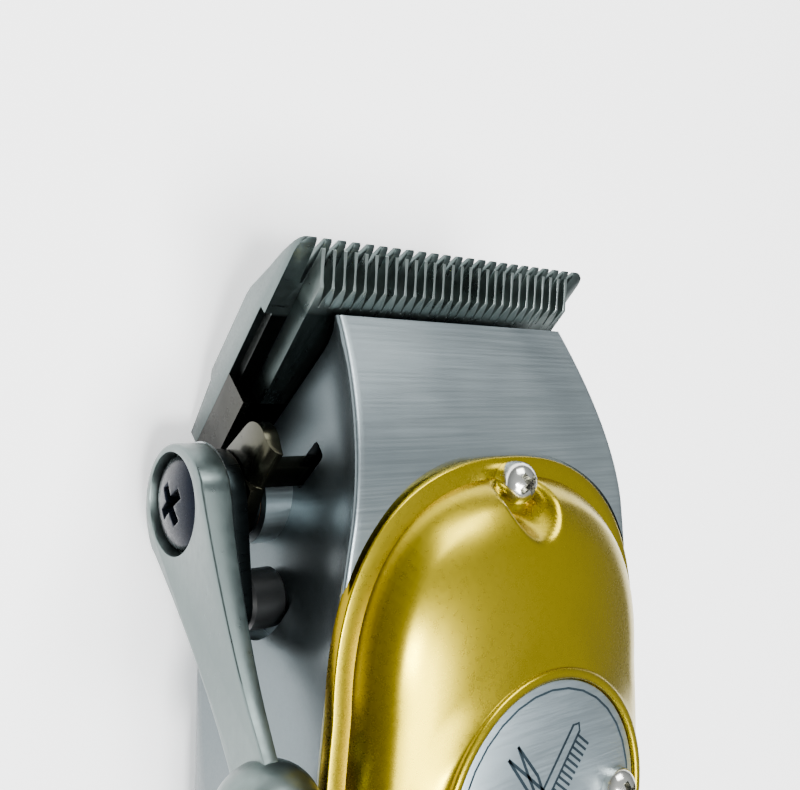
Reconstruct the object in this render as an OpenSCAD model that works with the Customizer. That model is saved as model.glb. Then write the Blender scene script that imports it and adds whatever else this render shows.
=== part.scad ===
// Hair clipper with an aluminium body, a domed top cover and a side taper lever.
// Blade forward along +Y, cover up along +Z, taper lever on the -X side.
// The origin is the middle of the flat underside.

/* [Body] */
// Width of the body at its widest
body_w = 50.8; // [48:0.1:60]
// Station of the widest section, ahead of the origin
widest_y = 30; // [26:1:34]
// Width of the nose at its front edge
nose_w = 36.6; // [35:0.2:42]
// Width of the tail where its round end starts
tail_w = 39.5; // [36:0.5:46]
// Length of the flat underside
flat_len = 104; // [96:1:108]
// How far the rear end stands behind the flat underside
tail_len = 10; // [8:1:40]
// Depth of the round rear end, seen from above
tail_round = 22; // [18:1:30]
// Height of the cover's seat above the underside
seat_z = 35.8; // [34:0.2:43]
// Wall of the body casting
wall = 2.2; // [1.8:0.1:3]
// Radius of the long edges along the underside
belly_r = 13; // [10:0.5:16]
// Depth of the hollow on each side of the nose
hollow_d = 2.5; // [1.5:0.1:3]

/* [Nose] */
// Angle between the cutting plane and the body's length
blade_tilt = 43; // [41:0.5:45]
// Tip line of the fixed blade, ahead of the origin
tip_y = 99.5; // [98.5:0.5:101]
// Height of the tip line above the underside
tip_z = 28; // [27:0.5:29]
// Set-back of the nose's front edge behind the tip line
nose_setback = 7.8; // [7:0.2:9]
// Fall of the nose from the cover's seat to its front edge
nose_drop = 8.5; // [7:0.5:9]
// Station where the nose starts to fall
roof_y = 69; // [67:0.5:71]
// Gap between the cutting plane and the body's blade face
blade_face_gap = 4; // [3.7:0.1:4.5]
// Length of the blade face behind the tip line
blade_face_len = 34; // [33:0.5:37]

/* [Cover] */
// Thickness of the cover's sheet
cover_t = 1.5; // [1.2:0.1:2]
// Front edge of the cover, ahead of the origin
cover_front_y = 76; // [74:0.5:77]
// Length of the cover's round front
cover_round = 26; // [23:0.5:28]
// Height of the dome above the flange
dome_h = 7.3; // [6.5:0.1:9]
// Width of the flat flange around the dome
flange_w = 2.3; // [2:0.1:3]
// Gap around the cover in its seat
cover_gap = 0.2; // [0.1:0.05:0.3]
// Distance from the cover's front edge to its front screw
cover_screw_in = 2.9; // [2.7:0.1:3.6]
// Radius of the scoop behind each cover screw
scoop_r = 3.6; // [3.4:0.1:4]

/* [Badge] */
// Centre of the badge, ahead of the origin
badge_y = 37; // [34:0.5:39]
// Radius of the badge plate
badge_r = 14.8; // [13:0.1:16]
// Thickness of the badge plate
badge_t = 1.2; // [1:0.1:1.6]
// Width of the raised rim around the badge
rim_w = 1.3; // [1:0.1:2]
// Height of the rim above the badge
rim_up = 0.4; // [0.2:0.1:1]
// Distance of each badge screw from the badge's centre
badge_screw_x = 11.6; // [10.6:0.1:11.9]

/* [Screws] */
// Radius of the domed screw heads
head_r = 2.5; // [2.2:0.1:2.6]
// Height of the domed screw heads
head_h = 2.3; // [2:0.1:2.6]
// Radius of the cover and badge screw shanks
shank_r = 1.4; // [1.2:0.1:1.6]

/* [Blades] */
// Width of the fixed blade
blade_w = 46.8; // [44:0.2:50]
// Teeth on the fixed blade, with its two wide corner teeth
fixed_teeth = 23; // [19:2:25]
// Thickness of the fixed blade behind its teeth
fixed_t = 4.8; // [4.5:0.1:5]
// Thickness of the fixed blade at its rear edge
heel_t = 3.2; // [3:0.1:3.6]
// Thickness of the side strip below the pocket, down from the cutting plane
strip_z = 1.15; // [0.8:0.05:1.4]
// Width of the cutter
cutter_w = 40.6; // [39:0.2:42]
// Teeth on the cutter
cutter_teeth = 28; // [24:1:30]
// Thickness of the cutter
cutter_t = 3; // [2.6:0.1:3.1]
// Set-back of the cutter's tips behind the tip line
cutter_setback = 0.6; // [0.5:0.1:1.2]
// Length of the cutter
cutter_len = 21.8; // [21:0.1:22]
// Gap between the cutter and what it slides on
slide_gap = 0.03; // [0.02:0.01:0.05]
// Travel of the taper adjustment along the cutting plane
taper_travel = 1.8; // [1.4:0.1:1.9]
// Side travel of the cutter to each side
stroke = 1.3; // [1:0.1:1.4]
// Radius of the blade screw shanks
blade_screw_r = 1.7; // [1.5:0.1:1.9]
// Distance of each blade screw from the middle
blade_screw_x = 6; // [5:0.5:7]

/* [Taper lever] */
// Distance of the lever's pivot behind the tip line
pivot_back = 29.5; // [29:0.1:30.5]
// Height of the lever's pivot above the underside
pivot_z = 15.5; // [15:0.1:16.5]
// Distance from the pivot to the middle of the ball
lever_len = 35; // [33:0.5:42]
// Radius of the ball at the lever's end
ball_r = 5.6; // [5:0.1:7]
// Radius of the lever's eye
eye_r = 7.7; // [7.4:0.1:8.5]
// Width of the lever next to the ball
arm_end_w = 7.5; // [6:0.1:9]
// Thickness of the lever
lever_t = 3.6; // [3.4:0.1:4.4]
// Thickness of the lever's arm beside the ball
arm_end_t = 1.5; // [1.2:0.1:2.4]
// Angle of the lever above the underside, at rest
lever_angle = 37; // [35:0.5:40]
// Swing of the lever from short cut to long cut
lever_swing = 42; // [36:1:44]
// Radius of the cam shaft's journal
journal_r = 3; // [2.6:0.1:3.4]
// Radius of the crank pin on the cam shaft
crank_r = 1.5; // [1.3:0.1:1.7]
// Radial clearance of turning pieces
run_gap = 0.05; // [0.03:0.01:0.08]
// Thickness of the dark friction plate behind the lever
plate_t = 2.6; // [2:0.1:3]
// Thickness of the link arm
link_t = 1.8; // [1.5:0.1:2.2]
// Distance from the pivot to the stand-off bush
standoff_dist = 11.8; // [11.6:0.1:13]
// Angle of the friction plate above the horizontal
standoff_angle = 21; // [18:1:26]
// Radius of the stand-off bush
standoff_r = 3.5; // [3.2:0.1:3.8]

/* [Motor] */
// Sideways offset of the drive arm from the middle
arm_x = -7; // [-8:0.5:-6.5]
// Station of the drive arm's pivot, ahead of the origin
arm_pivot_y = -12; // [-16:1:-10]
// Radius of the drive arm's pivot pin
arm_pin_r = 2; // [1.6:0.1:2.4]
// Thickness of the drive arm
arm_t = 2; // [1.6:0.1:2.2]
// Air gap between the armature and the core's poles
air_gap = 1.2; // [1:0.1:1.6]
// Length of the laminated core
core_len = 46; // [44:1:48]
// Height of the lamination stack
stack_h = 12; // [10:0.5:14]
// Width of the winding round the middle pole
coil_w = 26; // [22:1:26]
// Radius of the lead wires
lead_r = 0.8; // [0.6:0.1:1]

/* [Switch and cord entry] */
// Station of the switch, ahead of the origin
switch_y = -30; // [-34:1:-24]
// Height of the switch above the underside
switch_z = 19; // [17:0.5:22]
// Travel of the switch slider
switch_travel = 5; // [4:0.5:5.5]
// Station of the power screw, ahead of the origin
power_y = -4; // [-6:0.5:-2]
// Radius of the power screw
power_r = 2; // [1.8:0.1:2.4]
// Radius of the cord's hole in the gland
cord_r = 3.3; // [3:0.1:3.6]
// Height of the gland above the underside
gland_z = 17; // [15:0.5:20]

/* [Hidden] */
$fn = 48;
far = 200;                                   // longer than any cut
eps = 0.01;

// Body outline, seen from above
front_y = tip_y - nose_setback;
tail_y = -flat_len / 2 - tail_len + tail_round;
rear_y = -flat_len / 2 - tail_len;
function nose_half(y) =
    nose_w / 2 + (body_w - nose_w) / 2 * pow(sin(90 * max(0, front_y - y) / (front_y - widest_y)), 1.15);
function tail_half(y) =
    body_w / 2 - (body_w - tail_w) / 2 * pow((widest_y - y) / (widest_y - tail_y), 2);
function half_w(y) = y > widest_y ? nose_half(y) : tail_half(y);
function roof_z(y) =
    seat_z + 1.1 - (y > roof_y ? nose_drop * pow((y - roof_y) / (front_y - roof_y), 1.75) : 0);

function mirrored(points) =
    concat(points, [for (i = [len(points) - 1:-1:0]) [-points[i].x, points[i].y]]);
function side_stations(front) = [for (i = [0:18]) front - (front - tail_y) * i / 18];
function tail_arc(inset) = [
    for (a = [10:10:80])
        [(tail_w / 2 - inset) * cos(a), tail_y - (tail_round - inset) * sin(a)]
];
function plan(front, inset) = mirrored(concat(
    [for (y = side_stations(front)) [half_w(y) - inset, y]],
    tail_arc(inset)
));

// The blade's own frame: X across, Y along the cutting plane to the tips, Z away from the skin
module in_blade_frame() translate([0, tip_y, tip_z]) rotate([blade_tilt, 0, 0]) children();
function row_y(y, z) = tip_y + y * cos(blade_tilt) - z * sin(blade_tilt);
function row_z(y, z) = tip_z + y * sin(blade_tilt) + z * cos(blade_tilt);
function blade_y(y, z) = (y - tip_y) * cos(blade_tilt) + (z - tip_z) * sin(blade_tilt);
function blade_z(y, z) = (z - tip_z) * cos(blade_tilt) - (y - tip_y) * sin(blade_tilt);

module along_x(from, to) translate([from, 0, 0]) rotate([90, 0, 90]) linear_extrude(to - from) children();
module rod_x(from, to, r) translate([from, 0, 0]) rotate([0, 90, 0]) cylinder(h = to - from, r = r);
module box(low, high) translate(low) cube(high - low);

// Underside of the body: blade face, chin and flat
chin_y = row_y(-blade_face_len, blade_face_gap);
chin_z = row_z(-blade_face_len, blade_face_gap);
function face_y_at(z, inset) =
    row_y((z - row_z(0, blade_face_gap + inset)) / sin(blade_tilt), blade_face_gap + inset);
function curve(a, b, c, t) = a * (1 - t) * (1 - t) + b * 2 * t * (1 - t) + c * t * t;
function belly(inset) = concat(
    [[face_y_at(far, inset), far], [face_y_at(chin_z + inset, inset), chin_z + inset]],
    [for (t = [0.125:0.125:1]) curve(
        [face_y_at(chin_z + inset, inset), chin_z + inset],
        [face_y_at(inset, inset), inset],
        [flat_len / 2, inset], t)],
    [for (a = [0:15:90])
        [-flat_len / 2 - (tail_len - inset) * sin(a), tail_len - (tail_len - inset) * cos(a)]],
    [[rear_y + inset, far]]
);
function roof(inset) = concat(
    [[rear_y - 1, -1], [rear_y - 1, seat_z + 1.1 - inset], [roof_y, seat_z + 1.1 - inset]],
    [for (i = [1:8]) let(y = roof_y + (front_y - roof_y) * i / 8) [y, roof_z(y) - inset]],
    [[front_y, -1]]
);
function hull_section(inset) = let(x = body_w / 2, r = belly_r) concat(
    [[-x - 1, far], [-x - 1, r]],
    [for (a = [0:15:90]) [-(x - r) - (r - inset) * cos(a), r - (r - inset) * sin(a)]],
    [for (a = [90:-15:0]) [(x - r) + (r - inset) * cos(a), r - (r - inset) * sin(a)]],
    [[x + 1, r], [x + 1, far]]
);
module body_form(side_inset, inset, front, roof_inset) {
    intersection() {
        translate([0, 0, -1]) linear_extrude(far) polygon(plan(front, side_inset));
        along_x(-body_w, body_w) polygon(roof(roof_inset));
        along_x(-body_w, body_w) polygon(belly(inset));
        translate([0, far, 0]) rotate([90, 0, 0]) linear_extrude(2 * far) polygon(hull_section(inset));
    }
}

// Cover outline
cover_mid_y = cover_front_y - cover_round;
cover_half = half_w(cover_mid_y) - cover_gap;
function oval(u) = pow(1 - pow(u, 2.4), 1 / 2.4);
function cover_plan(inset) = mirrored(concat(
    [for (u = [1, 0.985, 0.95, 0.89, 0.8, 0.68, 0.54, 0.38, 0.2])
        [(cover_half - inset) * (u == 1 ? 0.03 : oval(u)), cover_mid_y + (cover_round - inset) * u]],
    [for (i = [0:10]) let(y = cover_mid_y - (cover_mid_y - tail_y) * i / 10)
        [half_w(y) - cover_gap - inset, y]],
    [for (a = [10:10:80]) [(tail_w / 2 - cover_gap - inset) * cos(a),
        tail_y - (tail_round - cover_gap - inset) * sin(a)]]
));
flange_z = seat_z + cover_t;
dome_top = flange_z + dome_h;
dome_steps = [[0, 0], [1, 0.28], [2.9, 0.58], [6.2, 0.8], [11.5, 0.94], [17, 1]];
front_screw_y = cover_front_y - cover_screw_in;
rear_screw_y = rear_y + cover_gap + cover_screw_in;
badge_top = dome_top + 0.2;
rim_top = badge_top + rim_up;
screw_pad = 0.8;                             // pad under the head of each cover screw
pad_top = flange_z + screw_pad;

// Lever stack, from the body outwards
pivot_y = tip_y - pivot_back;
boss_out = 0.8;
web_gap = 0.1;
web_t = 0.7;
plate_gap = 0.1;
washer_t = 0.3;
ball_clear = 0.2;                            // between the ball and the body's side
ball_out = 1.1;                              // ball's centre, outwards of the eye's middle
stack_t = web_gap + web_t + link_t + plate_gap + plate_t + washer_t;
ball_x = half_w(max(widest_y, pivot_y - lever_len)) + ball_clear + ball_r;
boss_x = max(half_w(pivot_y) + boss_out, ball_x - ball_out - lever_t / 2 - stack_t);
web_x = boss_x + web_gap;
link_x = web_x + web_t;
plate_x = link_x + link_t + plate_gap;
lever_x = plate_x + plate_t + washer_t;
lever_out = lever_x + lever_t;
eye_shift = 1.06;                            // eye's centre, along the arm from the pivot
recess_r = 5.9;
recess_x = lever_out - 2;
hollow_wall_x = half_w(pivot_y) - hollow_d;
crank_e = taper_travel / (2 * sin(lever_swing / 2));
crank_in = lever_swing / 2;
hub_r = crank_e + crank_r + 0.3;
hub_bore_r = 1.6;
bush_r = journal_r + 1.2;
boss_r = bush_r + 1.2;
pivot_by = blade_y(pivot_y, pivot_z);
pivot_bz = blade_z(pivot_y, pivot_z);
standoff_y = pivot_y - standoff_dist * cos(standoff_angle);
standoff_z = pivot_z + standoff_dist * sin(standoff_angle);
standoff_x = half_w(standoff_y) - hollow_d;
sunk = 1.2;
sunk_r = 2.4;
link_w = 8.4;
link_end_r = 3;
link_rise = 0.3;                             // front end of the link, above its fork
tab_t = 1.8;
tab_front = -17.8;
tab_back = -24.2;
tab_end = tab_front - 3.2;                    // front edge of the tab
tab_top = pivot_bz + link_rise + link_end_r;
tab_low = tab_top - tab_t;
leg_x = -nose_w / 2 + hollow_d + wall - 1.4;
leg_far = leg_x + link_t;

// Blade stack, in the blade's frame
pocket_t = 1;
pocket_front = -10.4;
seat_r = 3.3;
carriage_front = -(cutter_setback + cutter_len) - 0.4 - taper_travel;
carriage_back = -33.4;
carriage_t = blade_face_gap - 0.2;
cheek_front = -21;
tooth_pitch = blade_w / (fixed_teeth + 0.8);
cutter_pitch = cutter_w / (cutter_teeth - 0.6);
carriage_screw_x = 10.4;
carriage_screw_y = -28.6;
blade_screw_y = -28;
guide_r = 1.6;
cap_y = -15;
cap_half = 2.4;
cap_len = 6;
finger_deep = 1.6;                           // half depth of the drive arm's finger
tension_z = 7.9;
foot_gap = 0.15;
window_half = 7.6;
window = [-20.6, -10.4];

// Motor, seen from above
pole_x = arm_x + 8 + air_gap;
core_back = 2.5;
core_mid_y = core_back + core_len / 2;
core_z = 11;
yoke_x = 20.5 - 5.5;
core_out = 20.5;
side_pole = 5;
mid_pole = 10;
arm_mid_z = core_z + stack_h / 2;
arm_h = 10;
arm_jog_y = 57;
nose_arm_z = 23;
nose_arm_h = 5;
post_z = nose_arm_z + nose_arm_h + 0.5;
finger_half = arm_t / 2 + 0.4;
armature_screw_ys = [core_mid_y - 14, core_mid_y + 14];
armature_screw_r = 1.3;
core_screw_ys = [core_back + 2.5, core_back + core_len - 2.5];
core_screw_x = core_out - 3.5;
coil_grow = (coil_w - mid_pole) / 2;
spring_r = 2.6;
spring_wire = 0.4;
power_tip = 6;
power_bush_r = power_r + 1.4;

// Openings of the casting
wide_front = standoff_y - 7 - wall;
switch_slot = switch_travel + 5;
switch_in = half_w(switch_y - 9) - wall - 0.4;
gland_neck_r = cord_r + 2.2;

module domed_screw(r, h, shank, length) {
    // head with a flat seat at z = 0, crossed slots in its crown
    difference() {
        union() {
            cylinder(h = h * 0.45, r = r);
            translate([0, 0, h * 0.45]) intersection() {
                translate([0, 0, h * 0.55 - r * 1.22]) sphere(r = r * 1.22);
                cylinder(h = h, r = r);
            }
        }
        for (a = [0, 90]) rotate(a) translate([-r * 0.62, -0.4, h * 0.5]) cube([r * 1.24, 0.8, h]);
    }
    translate([0, 0, -length]) cylinder(h = length + eps, r = shank);
}

module helix(r, wire, length, turns) {
    // round wire wound round the Z axis
    sides = 6;
    steps = 14 * turns;
    points = [for (i = [0:steps], k = [0:sides - 1])
        let(a = 360 * turns * i / steps, b = 360 * k / sides, rr = r + wire * cos(b))
        [rr * cos(a), rr * sin(a), wire + (length - 2 * wire) * i / steps + wire * sin(b)]];
    faces = concat(
        [[for (k = [0:sides - 1]) k]],
        [for (i = [0:steps - 1], k = [0:sides - 1]) let(n = (k + 1) % sides)
            [i * sides + k, (i + 1) * sides + k, (i + 1) * sides + n, i * sides + n]],
        [[for (k = [sides - 1:-1:0]) steps * sides + k]]
    );
    polyhedron(points, faces, convexity = 8);
}

function unit(v) = v / norm(v);
function heading(points, i) = unit(
    (i < len(points) - 1 ? unit(points[i + 1] - points[i]) : [0, 0, 0])
    + (i > 0 ? unit(points[i] - points[i - 1]) : [0, 0, 0]));
module wire_run(points, r) {
    // insulated wire swept along its points
    sides = 8;
    last = len(points) - 1;
    rings = [for (i = [0:last], k = [0:sides - 1])
        let(d = heading(points, i), u = unit(cross(d, [0, 0, 1] + 0.01 * [d.y, -d.x, 0])), v = cross(d, u))
        points[i] + r * (cos(360 * k / sides) * u + sin(360 * k / sides) * v)];
    faces = concat(
        [[for (k = [sides - 1:-1:0]) k]],
        [for (i = [0:last - 1], k = [0:sides - 1]) let(n = (k + 1) % sides)
            [i * sides + k, i * sides + n, (i + 1) * sides + n, (i + 1) * sides + k]],
        [[for (k = [0:sides - 1]) last * sides + k]]
    );
    polyhedron(rings, faces, convexity = 6);
}

// Casting: open at the top for the cover, open through its blade face for the drive
module housing() {
    color("silver") difference() {
        union() {
            difference() {
                body_form(0, 0, front_y, 0);
                // motor space
                body_form(wall, wall, wide_front, -3);
                // nose space, narrower because its sides are hollowed outside
                body_form(wall + hollow_d, wall, front_y - wall, wall);
                side_hollow(1);
                side_hollow(-1);
            }
            // boss of the lever's pivot
            translate([0, pivot_y, pivot_z]) rod_x(-boss_x, -hollow_wall_x + wall, boss_r);
            // posts of the cover screws and of the motor
            intersection() {
                union() {
                    translate([0, front_screw_y, post_z]) cylinder(h = seat_z - post_z, r = 3);
                    translate([0, rear_screw_y, wall - eps]) cylinder(h = seat_z - wall, r = 3.2);
                    for (y = core_screw_ys) translate([core_screw_x, y, wall - eps])
                        cylinder(h = core_z - wall + eps, r = 3);
                    translate([arm_x, arm_pivot_y, wall - eps]) cylinder(h = 8, r = 4.5);
                }
                body_form(eps, eps, front_y - 1, 0.5);
            }
        }
        // seat of the cover
        translate([0, 0, seat_z]) linear_extrude(far) offset_plan();
        box([-body_w, rear_y - 5, seat_z], [body_w, cover_mid_y + 12, far]);
        // screw holes
        translate([0, front_screw_y, post_z + 0.4]) cylinder(h = seat_z - post_z + 3, r = shank_r);
        translate([0, rear_screw_y, seat_z - 14]) cylinder(h = 17, r = shank_r);
        for (y = core_screw_ys) translate([core_screw_x, y, wall + 1]) cylinder(h = 20, r = shank_r);
        translate([arm_x, arm_pivot_y, wall]) cylinder(h = 20, r = arm_pin_r);
        // bore of the pivot bush
        translate([0, pivot_y, pivot_z]) rod_x(-far, -hollow_wall_x + wall + 3, bush_r);
        // spot face and screw hole of the stand-off bush
        translate([0, standoff_y, standoff_z]) {
            rod_x(-body_w, -standoff_x, standoff_r + 1.2);
            rod_x(-body_w, -standoff_x + wall + 1, shank_r);
        }
        in_blade_frame() {
            // window of the drive
            box([-window_half, window[0], blade_face_gap - 3],
                [window_half, window[1], blade_face_gap + wall + 1]);
            // slots of the carriage screws and of the link's inner leg
            for (x = [-carriage_screw_x, carriage_screw_x]) translate([x, carriage_screw_y, 0])
                box([-guide_r - run_gap, -guide_r - 0.3, 0],
                    [guide_r + run_gap, guide_r + taper_travel + 0.3, blade_face_gap + wall + 0.5]);
            box([leg_x - 0.3, carriage_screw_y - 1.4, 0],
                [leg_far + 0.3, carriage_front + taper_travel + 0.4, blade_face_gap + wall + 2]);
            // side slot of the link's tab
            box([-far, tab_back - 0.4, tab_low - 0.4],
                [leg_far + 0.3, tab_end + taper_travel + 0.4, tab_top + 0.4]);
        }
        // switch slot, power screw hole and cord entry
        box([half_w(switch_y) - wall * 2, switch_y - switch_slot / 2, switch_z - 3.2],
            [body_w, switch_y + switch_slot / 2, switch_z + 3.2]);
        translate([0, power_y, arm_mid_z]) rod_x(half_w(power_y) - wall - 3, body_w, power_bush_r);
        translate([0, rear_y + wall + 4, gland_z]) rotate([90, 0, 0]) cylinder(h = 30, r = gland_neck_r);
    }
}

module offset_plan() {
    grow = 2 * cover_gap;
    polygon([for (p = cover_plan(0)) [p.x + (p.x > 0 ? grow : -grow), p.y + grow]]);
}

module side_hollow(side) {
    // shallow hollow in the nose's side, below the crease
    intersection() {
        difference() {
            translate([side * body_w / 2, 0, 0])
                box([-body_w / 2, standoff_y - 6.5, 0], [body_w / 2, front_y - 1.5, seat_z - 1.5]);
            translate([0, 0, -1]) linear_extrude(far) polygon(plan(front_y + 3, hollow_d));
        }
        along_x(-body_w, body_w) polygon(concat(
            [[standoff_y - 7, 3], [standoff_y - 7, seat_z - 6], [standoff_y - 3, seat_z - 3.4]],
            [for (i = [0:6]) let(y = roof_y + (front_y - roof_y) * i / 6) [y, roof_z(y) - 3.6]],
            [[front_y, 3]]
        ));
    }
}

// Dome pressed from sheet, with a flat flange, a badge seat and a scoop behind each screw
module dome(drop) {
    hull() for (s = dome_steps)
        translate([0, 0, flange_z - drop - 0.2]) linear_extrude(0.2 + s[1] * dome_h)
            polygon(cover_plan(flange_w + s[0] + drop * 0.8));
}
module top_cover() {
    color("goldenrod") difference() {
        union() {
            translate([0, 0, seat_z]) linear_extrude(cover_t) polygon(cover_plan(0));
            dome(0);
            translate([0, badge_y, dome_top - 4]) cylinder(h = rim_top - dome_top + 4, r = badge_r + rim_w);
            for (y = [front_screw_y, rear_screw_y]) translate([0, y, flange_z - eps])
                cylinder(h = screw_pad + eps, r = head_r + 0.2);
        }
        difference() {
            dome(cover_t);
            for (y = [front_screw_y, rear_screw_y]) translate([0, y, 0]) screw_tongue(cover_t, 0);
            for (x = [-badge_screw_x, badge_screw_x])
                translate([x, badge_y, dome_top - 6]) cylinder(h = 20, r = shank_r + 1.6);
        }
        translate([0, 0, seat_z - 5]) linear_extrude(5) square(far, center = true);
        // badge seat
        translate([0, badge_y, badge_top - badge_t]) cylinder(h = 10, r = badge_r + 0.1);
        for (y = [front_screw_y, rear_screw_y]) translate([0, y, 0]) {
            screw_tongue(0, 20);
            translate([0, 0, seat_z - 1]) cylinder(h = 10, r = shank_r + 0.15);
        }
        for (x = [-badge_screw_x, badge_screw_x])
            translate([x, badge_y, dome_top - 7]) cylinder(h = 20, r = shank_r);
    }
}
// Tongue that lets a screw head sit on the flange: it runs back into the dome
module screw_tongue(grow, up) {
    translate([0, 0, pad_top - grow]) cylinder(h = 12 + up, r = scoop_r + grow);
}

module badge_plate() {
    color("lightsteelblue") translate([0, badge_y, badge_top - badge_t]) difference() {
        cylinder(h = badge_t, r = badge_r);
        for (x = [-badge_screw_x, badge_screw_x]) translate([x, 0, -1]) cylinder(h = 5, r = shank_r + 0.15);
    }
}
module cover_screws() {
    color("gainsboro") {
        translate([0, front_screw_y, pad_top]) domed_screw(head_r, head_h, shank_r, pad_top - post_z - 0.6);
        translate([0, rear_screw_y, pad_top]) domed_screw(head_r, head_h, shank_r, screw_pad + cover_t + 9);
    }
}
module badge_screws() {
    color("gainsboro") for (x = [-badge_screw_x, badge_screw_x])
        translate([x, badge_y, badge_top]) domed_screw(head_r, head_h, shank_r, badge_t + 4);
}

// Fixed blade: toothed plate, thinner at its rear, with a long pocket in each side
module fixed_blade() {
    color("dimgray") in_blade_frame() difference() {
        along_x(-blade_w / 2, blade_w / 2) polygon([
            [carriage_back, 0], [0, 0], [0.45, -0.1], [0.2, -0.55], [-1.1, -1], [-3, -1.9], [-5.9, -2.85],
            [pocket_front, -fixed_t + 0.15], [pocket_front - 1.2, -fixed_t], [-23.8, -fixed_t],
            [-24.8, -heel_t - 0.9], [carriage_back, -heel_t]
        ]);
        for (i = [1:fixed_teeth - 1]) translate([(i - fixed_teeth / 2) * tooth_pitch, 0, -5])
            linear_extrude(10) polygon([[-0.28, -5.5], [0.28, -5.5], [0.56, 2], [-0.56, 2]]);
        for (s = [-1, 1]) {
            translate([s * blade_w / 2, 0, 0])
                box([-pocket_t, carriage_back - 1, -strip_z], [pocket_t, pocket_front, 1]);
            translate([s * blade_screw_x, blade_screw_y, -10]) {
                cylinder(h = 20, r = blade_screw_r + 0.2);
                cylinder(h = 10 - heel_t, r = seat_r);
            }
        }
        // hollow across the underside, so only the ground front touches skin
        box([-18, -20, -fixed_t - 1], [18, -13.5, -fixed_t + 0.8]);
    }
}
// Cutter: thinner toothed plate that slides sideways on the fixed blade
module cutter_blade() {
    back = -cutter_setback - cutter_len;
    color("slategray") in_blade_frame() difference() {
        along_x(-cutter_w / 2, cutter_w / 2) polygon([
            [back, slide_gap], [-cutter_setback, slide_gap], [-cutter_setback, 0.5],
            [-cutter_setback - 3.4, cutter_t], [back, cutter_t]
        ]);
        for (i = [1:cutter_teeth - 1]) translate([(i - cutter_teeth / 2) * cutter_pitch, 0, -1])
            linear_extrude(10) polygon([[-0.12, -4.5], [0.12, -4.5], [0.55, 1], [-0.55, 1]]);
        // drive slot
        box([-cap_half - 0.1, cap_y - cap_len / 2 - 0.5, -1],
            [cap_half + 0.1, cap_y + cap_len / 2 + 0.5, 9]);
    }
}
module blade_screws() {
    color("dimgray") in_blade_frame() for (x = [-blade_screw_x, blade_screw_x])
        translate([x, blade_screw_y, -heel_t]) rotate([180, 0, 0])
            domed_screw(3.1, 1.7, blade_screw_r, heel_t + carriage_t - 0.2);
}
// Nickel-plated carriage: holds the fixed blade and slides along the blade face
module blade_carriage() {
    color("darkgray") in_blade_frame() difference() {
        union() {
            box([-blade_w / 2, carriage_back, 0], [blade_w / 2, carriage_front, carriage_t]);
            // cheeks in the side pockets of the blade
            for (s = [-1, 1]) translate([s * (blade_w - pocket_t) / 2, 0, 0])
                box([-pocket_t / 2, carriage_back, -strip_z], [pocket_t / 2, cheek_front, carriage_t]);
        }
        for (x = [-blade_screw_x, blade_screw_x])
            translate([x, blade_screw_y, -5]) cylinder(h = 20, r = blade_screw_r);
        for (x = [-carriage_screw_x, carriage_screw_x])
            translate([x, carriage_screw_y, -5]) cylinder(h = 20, r = guide_r);
    }
}
module carriage_screws() {
    // shanks run in the slots of the blade face, heads bear on its inside
    color("gainsboro") in_blade_frame() for (x = [-carriage_screw_x, carriage_screw_x])
        translate([x, carriage_screw_y, blade_face_gap + wall + 0.15])
            domed_screw(2.5, 1.6, guide_r, wall + 0.15 + blade_face_gap - 0.2);
}
// Link: outer plate with a fork for the crank, a tab through the side slot and an inner leg
module link_arm() {
    end = [tab_front - link_end_r, pivot_bz + link_rise];
    color("darkkhaki") in_blade_frame() {
        difference() {
            along_x(-link_x - link_t, -link_x) {
                hull() {
                    translate([pivot_by, pivot_bz]) circle(r = link_w / 2 + 0.6);
                    translate(end) circle(r = link_end_r);
                }
                translate([tab_back, end.y]) square([tab_front - tab_back - 0.8, link_end_r]);
            }
            // fork round the crank pin, open away from the cover
            crank_mid_y = pivot_by - crank_e * sin(crank_in);
            box([-far, crank_mid_y - crank_r - run_gap, pivot_bz - crank_e - crank_r - 3],
                [far, crank_mid_y + crank_r + run_gap, pivot_bz - crank_e * cos(crank_in) + crank_r + 0.3]);
        }
        box([-link_x - link_t / 2, tab_back, tab_low], [leg_far, tab_end, tab_top]);
        box([leg_x, tab_back, tab_low - 2], [leg_far, tab_end, tab_top]);
        box([leg_x, carriage_screw_y - 1, carriage_t], [leg_far, carriage_front, tab_low]);
        box([leg_x, carriage_screw_y - 1, tab_low - 2], [leg_far, tab_end, tab_low]);
    }
}
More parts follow.
